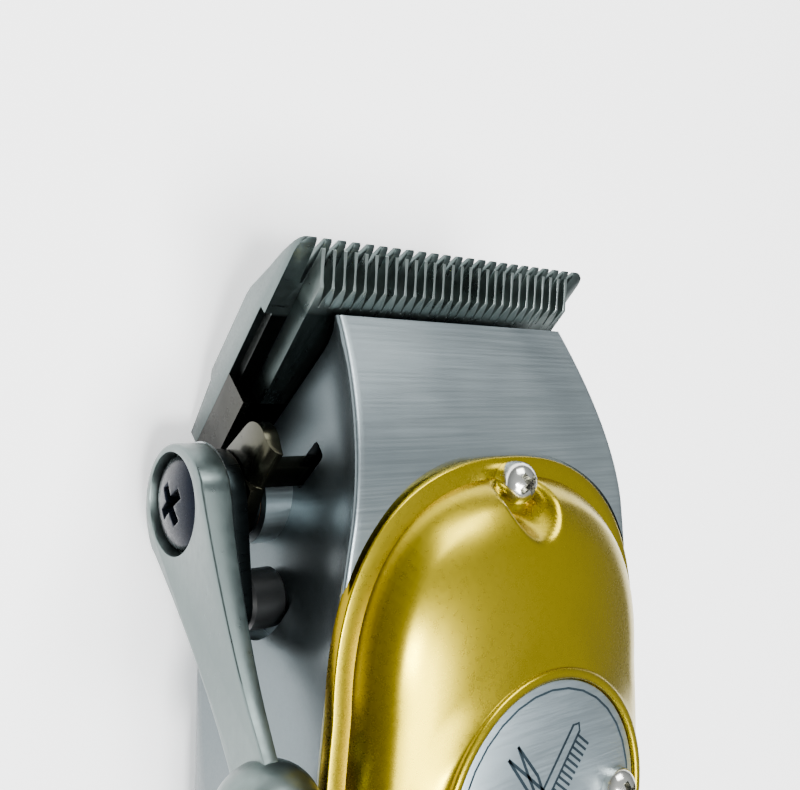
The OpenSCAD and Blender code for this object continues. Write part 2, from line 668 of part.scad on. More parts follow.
// Cam shaft: journal in the bush, crank pin in the link, hub in the lever
module cam_shaft() {
    color("gray") translate([0, pivot_y, pivot_z]) difference() {
        union() {
            rod_x(-web_x, -hollow_wall_x + wall + 1, journal_r);
            rod_x(-link_x + 0.05, -web_x, hub_r);
            rotate([blade_tilt - crank_in, 0, 0]) translate([0, 0, -crank_e])
                rod_x(-plate_x + 0.05, -web_x, crank_r);
            rod_x(-recess_x, -plate_x + 0.05, hub_r);
        }
        rod_x(-far, -plate_x - 1, hub_bore_r);
    }
}
module pivot_bush() {
    color("peru") translate([0, pivot_y, pivot_z]) difference() {
        rod_x(-boss_x, -hollow_wall_x + wall + 0.5, bush_r);
        rod_x(-far, far, journal_r + run_gap);
    }
}
module friction_plate() {
    color("darkslategray") difference() {
        union() {
            translate([0, pivot_y, pivot_z]) rod_x(-plate_x - plate_t, -plate_x, hub_r + 1.8);
            translate([0, standoff_y, standoff_z]) rod_x(-plate_x - plate_t, -plate_x, standoff_r);
            translate([0, pivot_y, pivot_z]) rotate([-standoff_angle, 0, 0])
                box([-plate_x - plate_t, -standoff_dist, -standoff_r + 0.3],
                    [-plate_x, 0, standoff_r - 0.3]);
        }
        translate([0, pivot_y, pivot_z]) rod_x(-far, 0, hub_r + run_gap);
        translate([0, standoff_y, standoff_z]) {
            rod_x(-far, 0, shank_r + 0.1);
            rod_x(-far, -plate_x - plate_t + sunk, sunk_r + 0.1);
        }
    }
}
module standoff_bush() {
    color("black") translate([0, standoff_y, standoff_z]) difference() {
        rod_x(-plate_x, -standoff_x, standoff_r);
        rod_x(-far, far, shank_r + 0.1);
    }
}
module plate_screw() {
    color("dimgray") translate([0, standoff_y, standoff_z]) difference() {
        union() {
            rod_x(-plate_x - plate_t + 0.1, -plate_x - plate_t + sunk, sunk_r);
            rod_x(-plate_x - plate_t + 0.1, -standoff_x + wall - 0.3, shank_r);
        }
        box([-far, -sunk_r - 1, -0.35], [-plate_x - plate_t + 0.6, sunk_r + 1, 0.35]);
    }
}
// Taper lever: round eye, an arm that tapers both ways and a ball for the thumb
module taper_lever() {
    color("lightgray") translate([0, pivot_y, pivot_z]) rotate([-lever_angle, 0, 0]) difference() {
        union() {
            translate([0, -eye_shift, 0]) rod_x(-lever_out, -lever_x, eye_r);
            hull() {
                translate([0, -eye_shift, 0]) rod_x(-lever_out, -lever_out + lever_t * 0.7, eye_r);
                box([-lever_out, -lever_len, -arm_end_w / 2],
                    [-lever_out + arm_end_t, -lever_len + 1, arm_end_w / 2]);
            }
            translate([-lever_x - lever_t / 2 - ball_out, -lever_len, 0]) sphere(r = ball_r);
        }
        rod_x(-far, -recess_x, recess_r);
        rod_x(-far, -1, hub_r);
    }
}
module lever_screw() {
    color("#20242c") translate([-recess_x, pivot_y, pivot_z]) rotate([0, -90, 0])
        domed_screw(5.2, 1.6, hub_bore_r, recess_x - plate_x - 1);
}
module spring_washer() {
    color("dimgray") translate([0, pivot_y, pivot_z]) difference() {
        rod_x(-lever_x + 0.02, -plate_x - plate_t, 7);
        rod_x(-far, far, hub_r + 0.2);
    }
}

// Drive arm: tall strip beside the core, a jog to the middle and a finger into the cutter
module drive_arm() {
    low = arm_mid_z - arm_h / 2;
    left = arm_x - arm_t / 2;
    nose_top = nose_arm_z + nose_arm_h;
    color("gray") difference() {
        union() {
            translate([arm_x, arm_pivot_y, low]) cylinder(h = arm_h, r = arm_pin_r + 2.4);
            box([left, arm_pivot_y, low], [left + arm_t, arm_jog_y, low + arm_h]);
            box([left, arm_jog_y - arm_t, low], [left + arm_t, arm_jog_y, nose_top]);
            box([left, arm_jog_y - arm_t, nose_arm_z - 4], [arm_t / 2, arm_jog_y, nose_top]);
            box([-arm_t / 2, arm_jog_y - arm_t, nose_arm_z], [arm_t / 2, row_y(cap_y, 9) + 1.6, nose_top]);
            in_blade_frame() box([-finger_half, cap_y - finger_deep, cutter_t - 1],
                [finger_half, cap_y + finger_deep, 10]);
        }
        translate([arm_x, arm_pivot_y, 0]) cylinder(h = far, r = arm_pin_r + run_gap);
        for (y = armature_screw_ys) translate([0, y, arm_mid_z]) rod_x(-far, 0, armature_screw_r);
        in_blade_frame() translate([0, cap_y - finger_deep, tension_z]) rotate([90, 0, 0])
            cylinder(h = 6, r = 0.7, center = true);
    }
}
module drive_cap() {
    color("ivory") in_blade_frame() difference() {
        box([-cap_half, cap_y - cap_len / 2, 0.6], [cap_half, cap_y + cap_len / 2, 5.6]);
        box([-finger_half, cap_y - finger_deep, cutter_t - 1], [finger_half, cap_y + finger_deep, 9]);
    }
}
module armature_block() {
    color("saddlebrown") difference() {
        box([arm_x + arm_t / 2, core_back, core_z],
            [pole_x - air_gap, core_back + core_len, core_z + stack_h]);
        for (y = armature_screw_ys) translate([0, y, arm_mid_z]) rod_x(-far, 0, armature_screw_r);
    }
}
module armature_screws() {
    color("gainsboro") for (y = armature_screw_ys) translate([arm_x - arm_t / 2, y, arm_mid_z])
        rotate([0, -90, 0]) domed_screw(2.4, 1.4, armature_screw_r, 5);
}
module arm_pivot_pin() {
    color("silver") translate([arm_x, arm_pivot_y, wall])
        cylinder(h = arm_mid_z + arm_h / 2 + 2 - wall, r = arm_pin_r);
}
// Tension spring: leaf on the back of the finger, with two feet that hold the cutter down
module tension_spring() {
    back = cap_y - 1.7;
    bar = blade_face_gap + wall;
    leaf = 0.6;
    color("lightsteelblue") in_blade_frame() {
        difference() {
            box([-finger_half, back - leaf, bar + 0.2], [finger_half, back, tension_z + 0.7]);
            translate([0, back - 1, tension_z]) rotate([-90, 0, 0]) cylinder(h = 2, r = 0.75);
        }
        box([-5.4, back - 3.4, bar], [5.4, back - leaf / 2, bar + leaf]);
        for (s = [-1, 1]) along_x(s * 4.7 - 0.7, s * 4.7 + 0.7) polygon([
            [back - 3.3, bar + leaf / 2], [back - 3.3, cutter_t + foot_gap], [back, cutter_t + foot_gap],
            [back, cutter_t + foot_gap + leaf], [back - 3.3 + leaf, cutter_t + foot_gap + leaf],
            [back - 3.3 + leaf, bar + leaf / 2]
        ]);
    }
}
module tension_screw() {
    color("gainsboro") in_blade_frame() translate([0, cap_y - 2.35, tension_z]) rotate([90, 0, 0])
        domed_screw(1, 0.8, 0.7, 2.4);
}
// Core: yoke along the right wall and three poles towards the armature
module stator_core() {
    color("dimgray") difference() {
        union() {
            box([yoke_x, core_back, core_z], [core_out, core_back + core_len, core_z + stack_h]);
            for (y = [core_back, core_back + core_len - side_pole])
                box([pole_x, y, core_z], [yoke_x + eps, y + side_pole, core_z + stack_h]);
            box([pole_x, core_mid_y - mid_pole / 2, core_z],
                [yoke_x + eps, core_mid_y + mid_pole / 2, core_z + stack_h]);
        }
        for (y = core_screw_ys) translate([core_screw_x, y, 0]) cylinder(h = far, r = shank_r + 0.1);
    }
}
module around_pole(from, to, grow, hole) {
    difference() {
        box([from, core_mid_y - mid_pole / 2 - grow, core_z - grow * 0.75],
            [to, core_mid_y + mid_pole / 2 + grow, core_z + stack_h + grow * 0.75]);
        box([from - 1, core_mid_y - mid_pole / 2 - hole, core_z - hole],
            [to + 1, core_mid_y + mid_pole / 2 + hole, core_z + stack_h + hole]);
    }
}
module coil_bobbin() {
    color("ivory") {
        around_pole(pole_x + 1, yoke_x - 0.2, 1, 0.1);
        around_pole(pole_x + 1, pole_x + 2, coil_grow, 0.1);
        around_pole(yoke_x - 1.2, yoke_x - 0.2, coil_grow, 0.1);
    }
}
module coil_winding() {
    color("firebrick") around_pole(pole_x + 2, yoke_x - 1.2, coil_grow - 0.6, 1);
}
module core_screws() {
    color("gainsboro") for (y = core_screw_ys) translate([core_screw_x, y, core_z + stack_h])
        domed_screw(2.6, 1.8, shank_r, stack_h + 6);
}
// Springs on both sides of the drive arm, the right one set by the power screw
module return_springs() {
    color("lightgray") translate([0, power_y, arm_mid_z]) {
        left = arm_x - arm_t / 2 - 0.35;
        right = arm_x + arm_t / 2 + 0.35;
        translate([-half_w(power_y) + wall + 0.2, 0, 0]) rotate([0, 90, 0])
            helix(spring_r, spring_wire, left + half_w(power_y) - wall - 0.2, 6);
        translate([right, 0, 0]) rotate([0, 90, 0])
            helix(spring_r, spring_wire, power_tip - right - 0.1, 5);
    }
}
module power_screw() {
    color("gainsboro") translate([0, power_y, arm_mid_z]) difference() {
        union() {
            rod_x(power_tip, half_w(power_y) + 0.4, power_r);
            rod_x(power_tip, power_tip + 1, spring_r + 0.6);
        }
        box([half_w(power_y) - 0.6, -0.4, -power_r], [far, 0.4, power_r]);
    }
}
module power_bush() {
    color("goldenrod") translate([0, power_y, arm_mid_z]) difference() {
        rod_x(half_w(power_y) - wall - 2.5, half_w(power_y) - 0.6, power_bush_r);
        rod_x(0, far, power_r + run_gap);
    }
}
module switch_body() {
    color("#202020") difference() {
        box([switch_in - 8, switch_y - 9, switch_z - 6], [switch_in, switch_y + 9, switch_z + 6]);
        box([switch_in - 4, switch_y - switch_slot / 2, switch_z - 2.1],
            [far, switch_y + switch_slot / 2, switch_z + 2.1]);
    }
}
module switch_slider() {
    y = switch_y - switch_slot / 2 + 0.3;
    out = half_w(switch_y) + 0.3;
    color("black") {
        box([switch_in - 3.8, y, switch_z - 2], [out + 1, y + 4.2, switch_z + 2]);
        for (i = [0:2]) translate([out + 1, y + 0.2 + i * 1.4, switch_z])
            box([-eps, 0, -2], [0.7, 0.8, 2]);
    }
}
module terminal_block() {
    color("ivory") difference() {
        box([-14, tail_y - 4, wall + 0.5], [-2, tail_y + 5, wall + 9]);
        for (x = [-11, -5]) translate([x, tail_y + 0.5, wall + 5]) {
            cylinder(h = 10, r = 1.6);
            rotate([90, 0, 0]) cylinder(h = 30, r = 1.3, center = true);
        }
    }
}
module lead_wires() {
    z = wall + 5;
    color("crimson") wire_run([
        [-11, tail_y + 5.2, z], [-11, tail_y + 9, z], [-14, arm_pivot_y + 2, 6], [-12, core_back + 6, 6],
        [pole_x + 4, core_back + 9, 6]
    ], lead_r);
    color("navy") wire_run([
        [-5, tail_y + 5.2, z], [-3, tail_y + 9, z], [4, switch_y + 12, z], [9, core_back - 3, 7],
        [9, core_back + 10, 7]
    ], lead_r);
}
module cord_gland() {
    color("black") translate([0, rear_y, gland_z]) rotate([90, 0, 0]) difference() {
        union() {
            translate([0, 0, 0.1]) cylinder(h = 3, r = gland_neck_r + 2);
            translate([0, 0, -wall - 0.4]) cylinder(h = wall + 0.6, r = gland_neck_r);
            translate([0, 0, -wall - 2.9]) cylinder(h = 2.5, r = gland_neck_r);
        }
        translate([0, 0, -20]) cylinder(h = 40, r = cord_r);
    }
}

housing();
top_cover();
badge_plate();
cover_screws();
badge_screws();
fixed_blade();
cutter_blade();
blade_screws();
blade_carriage();
carriage_screws();
link_arm();
cam_shaft();
pivot_bush();
friction_plate();
standoff_bush();
plate_screw();
taper_lever();
lever_screw();
spring_washer();
drive_arm();
drive_cap();
armature_block();
armature_screws();
arm_pivot_pin();
tension_spring();
tension_screw();
stator_core();
coil_bobbin();
coil_winding();
core_screws();
return_springs();
power_screw();
power_bush();
switch_body();
switch_slider();
terminal_block();
lead_wires();
cord_gland();
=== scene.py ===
import math

import bpy
from mathutils import Matrix, Vector


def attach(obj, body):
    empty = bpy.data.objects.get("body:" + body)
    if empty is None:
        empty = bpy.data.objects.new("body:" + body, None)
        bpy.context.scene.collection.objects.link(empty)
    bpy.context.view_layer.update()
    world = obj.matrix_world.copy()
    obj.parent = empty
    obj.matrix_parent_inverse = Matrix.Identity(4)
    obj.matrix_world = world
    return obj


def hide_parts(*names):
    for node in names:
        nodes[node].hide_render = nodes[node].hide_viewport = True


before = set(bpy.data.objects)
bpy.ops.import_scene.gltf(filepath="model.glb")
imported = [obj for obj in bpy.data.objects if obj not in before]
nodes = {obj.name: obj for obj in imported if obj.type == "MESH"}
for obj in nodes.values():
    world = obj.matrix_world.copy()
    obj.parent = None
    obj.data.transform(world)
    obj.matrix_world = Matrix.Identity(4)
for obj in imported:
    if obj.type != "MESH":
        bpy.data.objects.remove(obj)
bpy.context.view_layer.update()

# Pieces are modelled in millimetres; finishPiece turns each mesh into metres.
mm = 0.001


def deselectAll():
    if bpy.context.mode != "OBJECT":
        bpy.ops.object.mode_set(mode="OBJECT")
    bpy.ops.object.select_all(action="DESELECT")


def makeActive(piece):
    deselectAll()
    piece.select_set(True)
    bpy.context.view_layer.objects.active = piece


def startEdit(piece):
    makeActive(piece)
    bpy.ops.object.mode_set(mode="EDIT")
    bpy.ops.mesh.select_all(action="SELECT")


def closeUp(piece, merge=0.002):
    # merges doubles, fills open loops and turns the faces outwards
    startEdit(piece)
    bpy.ops.mesh.remove_doubles(threshold=merge)
    bpy.ops.mesh.fill_holes(sides=0)
    bpy.ops.mesh.normals_make_consistent(inside=False)
    bpy.ops.object.mode_set(mode="OBJECT")
    return piece


def pickEdges(piece, test):
    # selects the edges whose two ends pass the test, then stays in edit mode
    startEdit(piece)
    bpy.ops.mesh.select_all(action="DESELECT")
    bpy.ops.mesh.select_mode(type="EDGE")
    bpy.ops.object.mode_set(mode="OBJECT")
    points = piece.data.vertices
    for edge in piece.data.edges:
        edge.select = bool(test(points[edge.vertices[0]].co, points[edge.vertices[1]].co))
    bpy.ops.object.mode_set(mode="EDIT")


def applyModifier(piece, kind, **settings):
    makeActive(piece)
    modifier = piece.modifiers.new(kind.lower(), kind)
    for key, value in settings.items():
        setattr(modifier, key, value)
    bpy.ops.object.modifier_apply(modifier=modifier.name)
    return piece


def joinPieces(pieces):
    makeActive(pieces[0])
    for piece in pieces[1:]:
        piece.select_set(True)
    bpy.ops.object.join()
    return pieces[0]


def cutAway(piece, tool, how="DIFFERENCE", solver="MANIFOLD"):
    applyModifier(piece, "BOOLEAN", object=tool, operation=how, solver=solver)
    bpy.data.objects.remove(tool)
    return piece


def softenEdges(piece, width, angle=35, segments=2):
    return applyModifier(
        piece, "BEVEL", width=width, segments=segments, limit_method="ANGLE",
        angle_limit=math.radians(angle), harden_normals=False)


def movePoints(piece, place):
    # puts every vertex where place(co) says
    for vertex in piece.data.vertices:
        vertex.co = place(vertex.co)
    return piece


def bendGrid(across, along, place, merge=0.002):
    # a flat grid whose vertices are moved to place(i, j), then closed into a solid
    deselectAll()
    bpy.ops.mesh.primitive_grid_add(x_subdivisions=across, y_subdivisions=along, size=2)
    piece = bpy.context.object
    movePoints(piece, lambda co: place(
        round((co.x + 1) / 2 * across), round((co.y + 1) / 2 * along)))
    return closeUp(piece, merge)


def turnedPiece(profile, sides=48):
    # a grid turned round the Z axis: profile is a list of (radius, height)
    def place(i, j):
        radius, height = profile[j]
        angle = math.tau * (i % sides) / sides
        return (radius * math.cos(angle), radius * math.sin(angle), height)
    return bendGrid(sides, len(profile) - 1, place)


def slabPiece(outline, low, high):
    # a flat outline of (x, y) points, extruded from low to high along Z
    deselectAll()
    bpy.ops.mesh.primitive_circle_add(vertices=len(outline), radius=1, fill_type="NGON")
    piece = bpy.context.object
    for vertex, point in zip(piece.data.vertices, outline):
        vertex.co = (point[0], point[1], low)
    startEdit(piece)
    bpy.ops.mesh.extrude_region_move(TRANSFORM_OT_translate={"value": (0, 0, high - low)})
    bpy.ops.mesh.select_all(action="SELECT")
    bpy.ops.mesh.normals_make_consistent(inside=False)
    bpy.ops.object.mode_set(mode="OBJECT")
    return piece


def boxPiece(low, high):
    deselectAll()
    bpy.ops.mesh.primitive_cube_add(size=1)
    piece = bpy.context.object
    for vertex in piece.data.vertices:
        vertex.co = [high[k] if vertex.co[k] > 0 else low[k] for k in range(3)]
    return piece


def rodPiece(radius, low, high, sides=48):
    deselectAll()
    bpy.ops.mesh.primitive_cylinder_add(vertices=sides, radius=radius, depth=high - low)
    piece = bpy.context.object
    piece.data.transform(Matrix.Translation((0, 0, (low + high) / 2)))
    return piece


def reshape(piece, matrix):
    piece.data.transform(matrix)
    if matrix.determinant() < 0:
        piece.data.flip_normals()
    return piece


def shift(x, y, z):
    return Matrix.Translation((x, y, z))


def turn(degrees, axis):
    return Matrix.Rotation(math.radians(degrees), 4, axis)


# Z of a turned piece becomes -X, for what stands out of the lever side
leftward = turn(-90, "Y")


def finishPiece(piece, name, body, material, replaced=(), smooth=35):
    piece.name = name
    piece.data.name = name
    piece.data.transform(piece.matrix_world)
    piece.matrix_world = Matrix.Identity(4)
    piece.data.transform(Matrix.Scale(mm, 4))
    makeActive(piece)
    bpy.ops.object.shade_smooth_by_angle(angle=math.radians(smooth))
    piece.data.materials.clear()
    piece.data.materials.append(material)
    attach(piece, body)
    if replaced:
        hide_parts(*replaced)
    return piece


# the cutting plane: the middle of the blade's tips, and its angle to the underside
cuttingPlane = {"tilt": 43, "tipY": 99.5, "tipZ": 28}

# materials


def linear(hexColour):
    # sRGB hex to the linear colour that a shader takes
    values = [int(hexColour[k:k + 2], 16) / 255 for k in (1, 3, 5)]
    return tuple(v / 12.92 if v <= 0.04045 else ((v + 0.055) / 1.055) ** 2.4 for v in values) + (1,)


def addNode(tree, kind, settings=None, inputs=None, links=None):
    # adds a node, sets its properties and inputs, and links its inputs from other sockets
    node = tree.nodes.new(kind)
    for key, value in (settings or {}).items():
        setattr(node, key, value)
    for key, value in (inputs or {}).items():
        node.inputs[key].default_value = value
    for key, socket in (links or {}).items():
        tree.links.new(socket, node.inputs[key])
    return node


def startMaterial(name, **shaderInputs):
    material = bpy.data.materials.new(name)
    material.use_nodes = True
    tree = material.node_tree
    tree.nodes.clear()
    output = addNode(tree, "ShaderNodeOutputMaterial")
    shader = addNode(tree, "ShaderNodeBsdfPrincipled", inputs=shaderInputs)
    tree.links.new(shader.outputs["BSDF"], output.inputs["Surface"])
    where = addNode(tree, "ShaderNodeTexCoord")
    return material, tree, shader, where.outputs["Object"]


def stretched(tree, where, scale):
    return addNode(tree, "ShaderNodeMapping", inputs={"Scale": scale},
                   links={"Vector": where}).outputs["Vector"]


def between(tree, source, low, high, fromLow=0.3, fromHigh=0.7):
    return addNode(tree, "ShaderNodeMapRange", inputs={
        "From Min": fromLow, "From Max": fromHigh, "To Min": low, "To Max": high},
        links={"Value": source}).outputs["Result"]


def bumpFrom(tree, height, strength, distance):
    return addNode(tree, "ShaderNodeBump", inputs={"Strength": strength, "Distance": distance},
                   links={"Height": height}).outputs["Normal"]


def noise(tree, vector, scale, detail=3, roughness=0.5):
    return addNode(tree, "ShaderNodeTexNoise", inputs={
        "Scale": scale, "Detail": detail, "Roughness": roughness}, links={"Vector": vector}).outputs["Fac"]


def mixColour(tree, factor, first, second):
    node = addNode(tree, "ShaderNodeMix", {"data_type": "RGBA"})
    for socket, value in ((node.inputs[0], factor), (node.inputs[6], first), (node.inputs[7], second)):
        if isinstance(value, bpy.types.NodeSocket):
            tree.links.new(value, socket)
        elif socket.type == "RGBA":
            socket.default_value = linear(value)
        else:
            socket.default_value = value
    return node.outputs[2]


def bladeAxes(tree, where):
    # places along the blade's own axes, in metres from the middle of its tips
    onPlane = addNode(tree, "ShaderNodeMapping", {"vector_type": "TEXTURE"}, {
        "Location": (0, cuttingPlane["tipY"] * mm, cuttingPlane["tipZ"] * mm),
        "Rotation": (math.radians(cuttingPlane["tilt"]), 0, 0)}, {"Vector": where})
    return addNode(tree, "ShaderNodeSeparateXYZ", links={0: onPlane.outputs["Vector"]}).outputs


def metalFinish(name, light, dark, roughness, lines, grain=0.2, bump=0.15, blotch=60, spread=1.0, patch=None):
    # lines are the brush lines' scales along X, Y and Z, in lines per metre;
    # patch makes a socket of 0 to 1 from (tree, where) and the colour that it brings in
    material, tree, shader, where = startMaterial(name, Metallic=1.0)
    brush = noise(tree, stretched(tree, where, lines), 1.0, 4, 0.6)
    cloud = noise(tree, where, blotch, 3)
    colour = mixColour(tree, between(tree, cloud, 0, 1), dark, light)
    shade = mixColour(tree, between(tree, brush, 0, grain), colour, dark)
    if patch:
        shade = mixColour(tree, patch[0](tree, where), shade, patch[1])
    tree.links.new(shade, shader.inputs["Base Color"])
    mixed = addNode(tree, "ShaderNodeMath", {"operation": "ADD"}, links={
        0: between(tree, brush, -0.05 * spread, 0.07 * spread),
        1: between(tree, cloud, roughness - 0.03 * spread, roughness + 0.04 * spread)})
    tree.links.new(mixed.outputs[0], shader.inputs["Roughness"])
    tree.links.new(bumpFrom(tree, brush, bump, 0.00004), shader.inputs["Normal"])
    return material


def paintedSideShade(tree, where):
    # painted shade: 1 on faces that look left or right, 0 on faces that look up, so that steep sides are
    # painted darker
    normal = addNode(tree, "ShaderNodeNewGeometry").outputs["True Normal"]
    across = addNode(tree, "ShaderNodeSeparateXYZ", links={0: normal}).outputs["X"]
    steep = addNode(tree, "ShaderNodeMath", {"operation": "ABSOLUTE"}, links={0: across}).outputs[0]
    return between(tree, steep, 0, 1, 0.55, 0.85)


def darkerRearTop(tree, where):
    # 1 on the blade's rear upper part, which is coloured near black
    axes = bladeAxes(tree, where)
    back = between(tree, axes["Y"], 1, 0, -0.0108, -0.0103)
    high = between(tree, axes["Z"], 0, 1, -0.0013, -0.0011)
    return addNode(tree, "ShaderNodeMath", {"operation": "MULTIPLY"}, links={0: back, 1: high}).outputs[0]


def paintedShadeBehindTeeth(tree, where):
    # painted shade on the cutter behind its ground teeth, where the nose overhangs it
    return between(tree, bladeAxes(tree, where)["Y"], 1, 0, -0.0078, -0.0062)


def plasticFinish(name, light, dark, roughness, grain=1500, bump=0.1):
    material, tree, shader, where = startMaterial(name, Metallic=0.0)
    cloud = noise(tree, where, 90, 4)
    fine = noise(tree, where, grain, 2)
    tree.links.new(mixColour(tree, between(tree, cloud, 0, 1), dark, light), shader.inputs["Base Color"])
    tree.links.new(between(tree, cloud, roughness - 0.06, roughness + 0.08), shader.inputs["Roughness"])
    tree.links.new(bumpFrom(tree, fine, bump, 0.00003), shader.inputs["Normal"])
    return material


# Die-cast aluminium with its faces linished across the width: fine grey lines, satin sheen; its steep sides
# carry painted shade
castAluminium = metalFinish("linishedCastAluminium", "#8f9a9d", "#828d91", 0.36, (60, 3200, 3200), 0.3, 0.16,
                            patch=(paintedSideShade, "#565f62"))
# Deep-drawn aluminium sheet, bead blasted and gold anodised: soft highlights, faint grain; its steep flanks
# carry painted shade
goldAnodised = metalFinish("goldAnodisedAluminium", "#b09d1e", "#a4911a", 0.27, (1400, 1400, 1400),
                           0.04, 0.01, blotch=25, spread=0.3, patch=(paintedSideShade, "#806c06"))
# Brushed stainless sheet: cool grey, nearly matt
badgeSteel = metalFinish("brushedStainless", "#a3b1b7", "#9aa8ae", 0.4, (160, 3600, 3600), 0.15, 0.06)
# Bright nickel plate over brass: sharp warm-grey reflections
nickelScrew = metalFinish("brightNickelPlate", "#d8d8d2", "#c2c1b8", 0.14, (700, 700, 700), 0.1, 0.05)
# Hardened carbon steel, surface ground: dark, with grinding lines, near black over its rear upper part
bladeSteel = metalFinish("groundBladeSteel", "#5c6665", "#4a5453", 0.32, (240, 2600, 2600), 0.3, 0.18,
                         patch=(darkerRearTop, "#141716"))
# The same steel ground bright on the cutter's teeth, with painted shade on the face behind them
cutterSteel = metalFinish("groundCutterSteel", "#98a3a1", "#87928f", 0.3, (2600, 300, 300), 0.3, 0.15,
                          patch=(paintedShadeBehindTeeth, "#3c4544"))
# Worn nickel plate on steel: dark and warm, with small sharp reflections
nickelPlate = metalFinish("dullNickelPlate", "#3f3e33", "#2a2a22", 0.2, (500, 500, 500), 0.3, 0.06)
# Tumbled cast aluminium: even blue-grey satin
leverAluminium = metalFinish("tumbledAluminium", "#616c6a", "#56605f", 0.34, (900, 700, 1600), 0.2, 0.12)
# Nickel plate under oil and clippings: nearly black, with a yellowish sheen
oiledNickel = metalFinish("oiledNickelPlate", "#22221a", "#141410", 0.24, (500, 500, 500), 0.3, 0.05)
# Blackened and black-oxide steel: near black, soft sheen on the edges
darkSteel = metalFinish("blackenedSteel", "#2a3132", "#171c1d", 0.3, (300, 1800, 1800), 0.5, 0.3)
darkScrew = metalFinish("blackOxideSteel", "#181c26", "#0a0c11", 0.26, (900, 900, 900), 0.4, 0.1)
# Plain steels inside: bright drawn wire, zinc-plated sheet, dull stacked laminations
springSteel = metalFinish("springSteel", "#9aa0a1", "#808789", 0.28, (900, 900, 900), 0.3, 0.15)
armSteel = metalFinish("zincPlatedSteel", "#8d9496", "#767d80", 0.33, (500, 500, 500), 0.3, 0.15)
laminationSteel = metalFinish("laminationSteel", "#57564f", "#3f3e39", 0.45, (60, 60, 2000), 0.5, 0.4)
# Porous brown bronze, turned yellow brass, and lacquered red-brown wire
sinteredBronze = metalFinish("sinteredBronze", "#a9764a", "#845a36", 0.42, (1500, 1500, 1500), 0.4, 0.3)
turnedBrass = metalFinish("turnedBrass", "#c2a052", "#a5853d", 0.27, (3000, 200, 200), 0.3, 0.15)
copperWinding = metalFinish("enamelledCopper", "#98452a", "#6f2c18", 0.32, (2200, 150, 150), 0.5, 0.5)
# Moulded plastics with a fine matt grain, and a duller rubber
blackNylon = plasticFinish("blackNylon", "#0d0f10", "#060707", 0.36)
whiteNylon = plasticFinish("naturalNylon", "#ece7da", "#dcd6c6", 0.45)
wireInsulation = plasticFinish("wireInsulation", "#8a2424", "#6f1919", 0.4)
glandRubber = plasticFinish("mouldedRubber", "#191b1c", "#0e0f10", 0.6, 900, 0.3)
# Dark fill of the etched lines
etchedMark = metalFinish("etchedLines", "#3c4a52", "#2b363d", 0.55, (900, 900, 900), 0.3, 0.1)
print("materials made")

# the body casting

casting = {
    "width": 50.8, "widestY": 30, "noseWidth": 36.6, "tailWidth": 39.5, "flatLength": 104,
    "tailLength": 10, "tailRound": 22, "seatHeight": 35.8, "rimStep": 1.1, "wall": 2.2,
    "bellyRadius": 13, "hollowDepth": 2.5, "hollowStart": 52.5, "edgeRadius": 0.45,
    "bossRadius": 5.4, "bossOut": 22.63, "bushRadius": 4.2, "spotRadius": 4.7, "hollowTop": 60, "above": 80,
}
# openings as two opposite corners each: the first two along the cutting plane, the switch's in the row frame
openings = {
    "driveArm": ((-7.6, -20.6, 1), (7.6, -10.4, 7.2)), "linkLeg": ((-15.2, -30, 0), (-12.8, -22.5, 8.2)),
    "switch": ((18, -35, 15.8), (40, -25, 22.2)),
}
# round openings: radius, then Y of the power screw, and Z
powerHole = {"radius": 3.4, "y": -4, "z": 17}
cordHole = {"radius": 5.5, "z": 17}
noseShape = {"setback": 7.8, "drop": 8.5, "roofY": 69, "faceGap": 4, "faceLength": 34}
frontY = cuttingPlane["tipY"] - noseShape["setback"]
tailY = -casting["flatLength"] / 2 - casting["tailLength"] + casting["tailRound"]
rearY = -casting["flatLength"] / 2 - casting["tailLength"]
tiltCos = math.cos(math.radians(cuttingPlane["tilt"]))
tiltSin = math.sin(math.radians(cuttingPlane["tilt"]))


def clamp(value, low=0.0, high=1.0):
    return max(low, min(high, value))


def smooth(t):
    t = clamp(t)
    return t * t * (3 - 2 * t)


def fromBlade(y, z):
    # a point along the cutting plane, in the row frame's Y and Z
    return (cuttingPlane["tipY"] + y * tiltCos - z * tiltSin,
            cuttingPlane["tipZ"] + y * tiltSin + z * tiltCos)


# Blade pieces are modelled flat, with Y to the tips, and laid on the cutting plane
onBlade = shift(0, cuttingPlane["tipY"], cuttingPlane["tipZ"]) @ turn(cuttingPlane["tilt"], "X")


def halfWidth(y):
    if y > casting["widestY"]:
        grow = (casting["width"] - casting["noseWidth"]) / 2
        t = clamp((frontY - y) / (frontY - casting["widestY"]))
        return casting["noseWidth"] / 2 + grow * math.sin(math.pi / 2 * t) ** 1.15
    t = (casting["widestY"] - y) / (casting["widestY"] - tailY)
    if y > tailY:
        return casting["width"] / 2 - (casting["width"] - casting["tailWidth"]) / 2 * t * t
    return casting["tailWidth"] / 2 * math.sqrt(max(0, 1 - ((tailY - y) / casting["tailRound"]) ** 2))


def roofHeight(y):
    top = casting["seatHeight"] + casting["rimStep"]
    if y > noseShape["roofY"]:
        top -= noseShape["drop"] * ((y - noseShape["roofY"]) / (frontY - noseShape["roofY"])) ** 1.75
    return top


def chinPoint(inset):
    y, z = fromBlade(-noseShape["faceLength"], noseShape["faceGap"])
    z += inset
    faceY, faceZ = fromBlade(0, noseShape["faceGap"] + inset)
    return faceY + (z - faceZ) * tiltCos / tiltSin, z


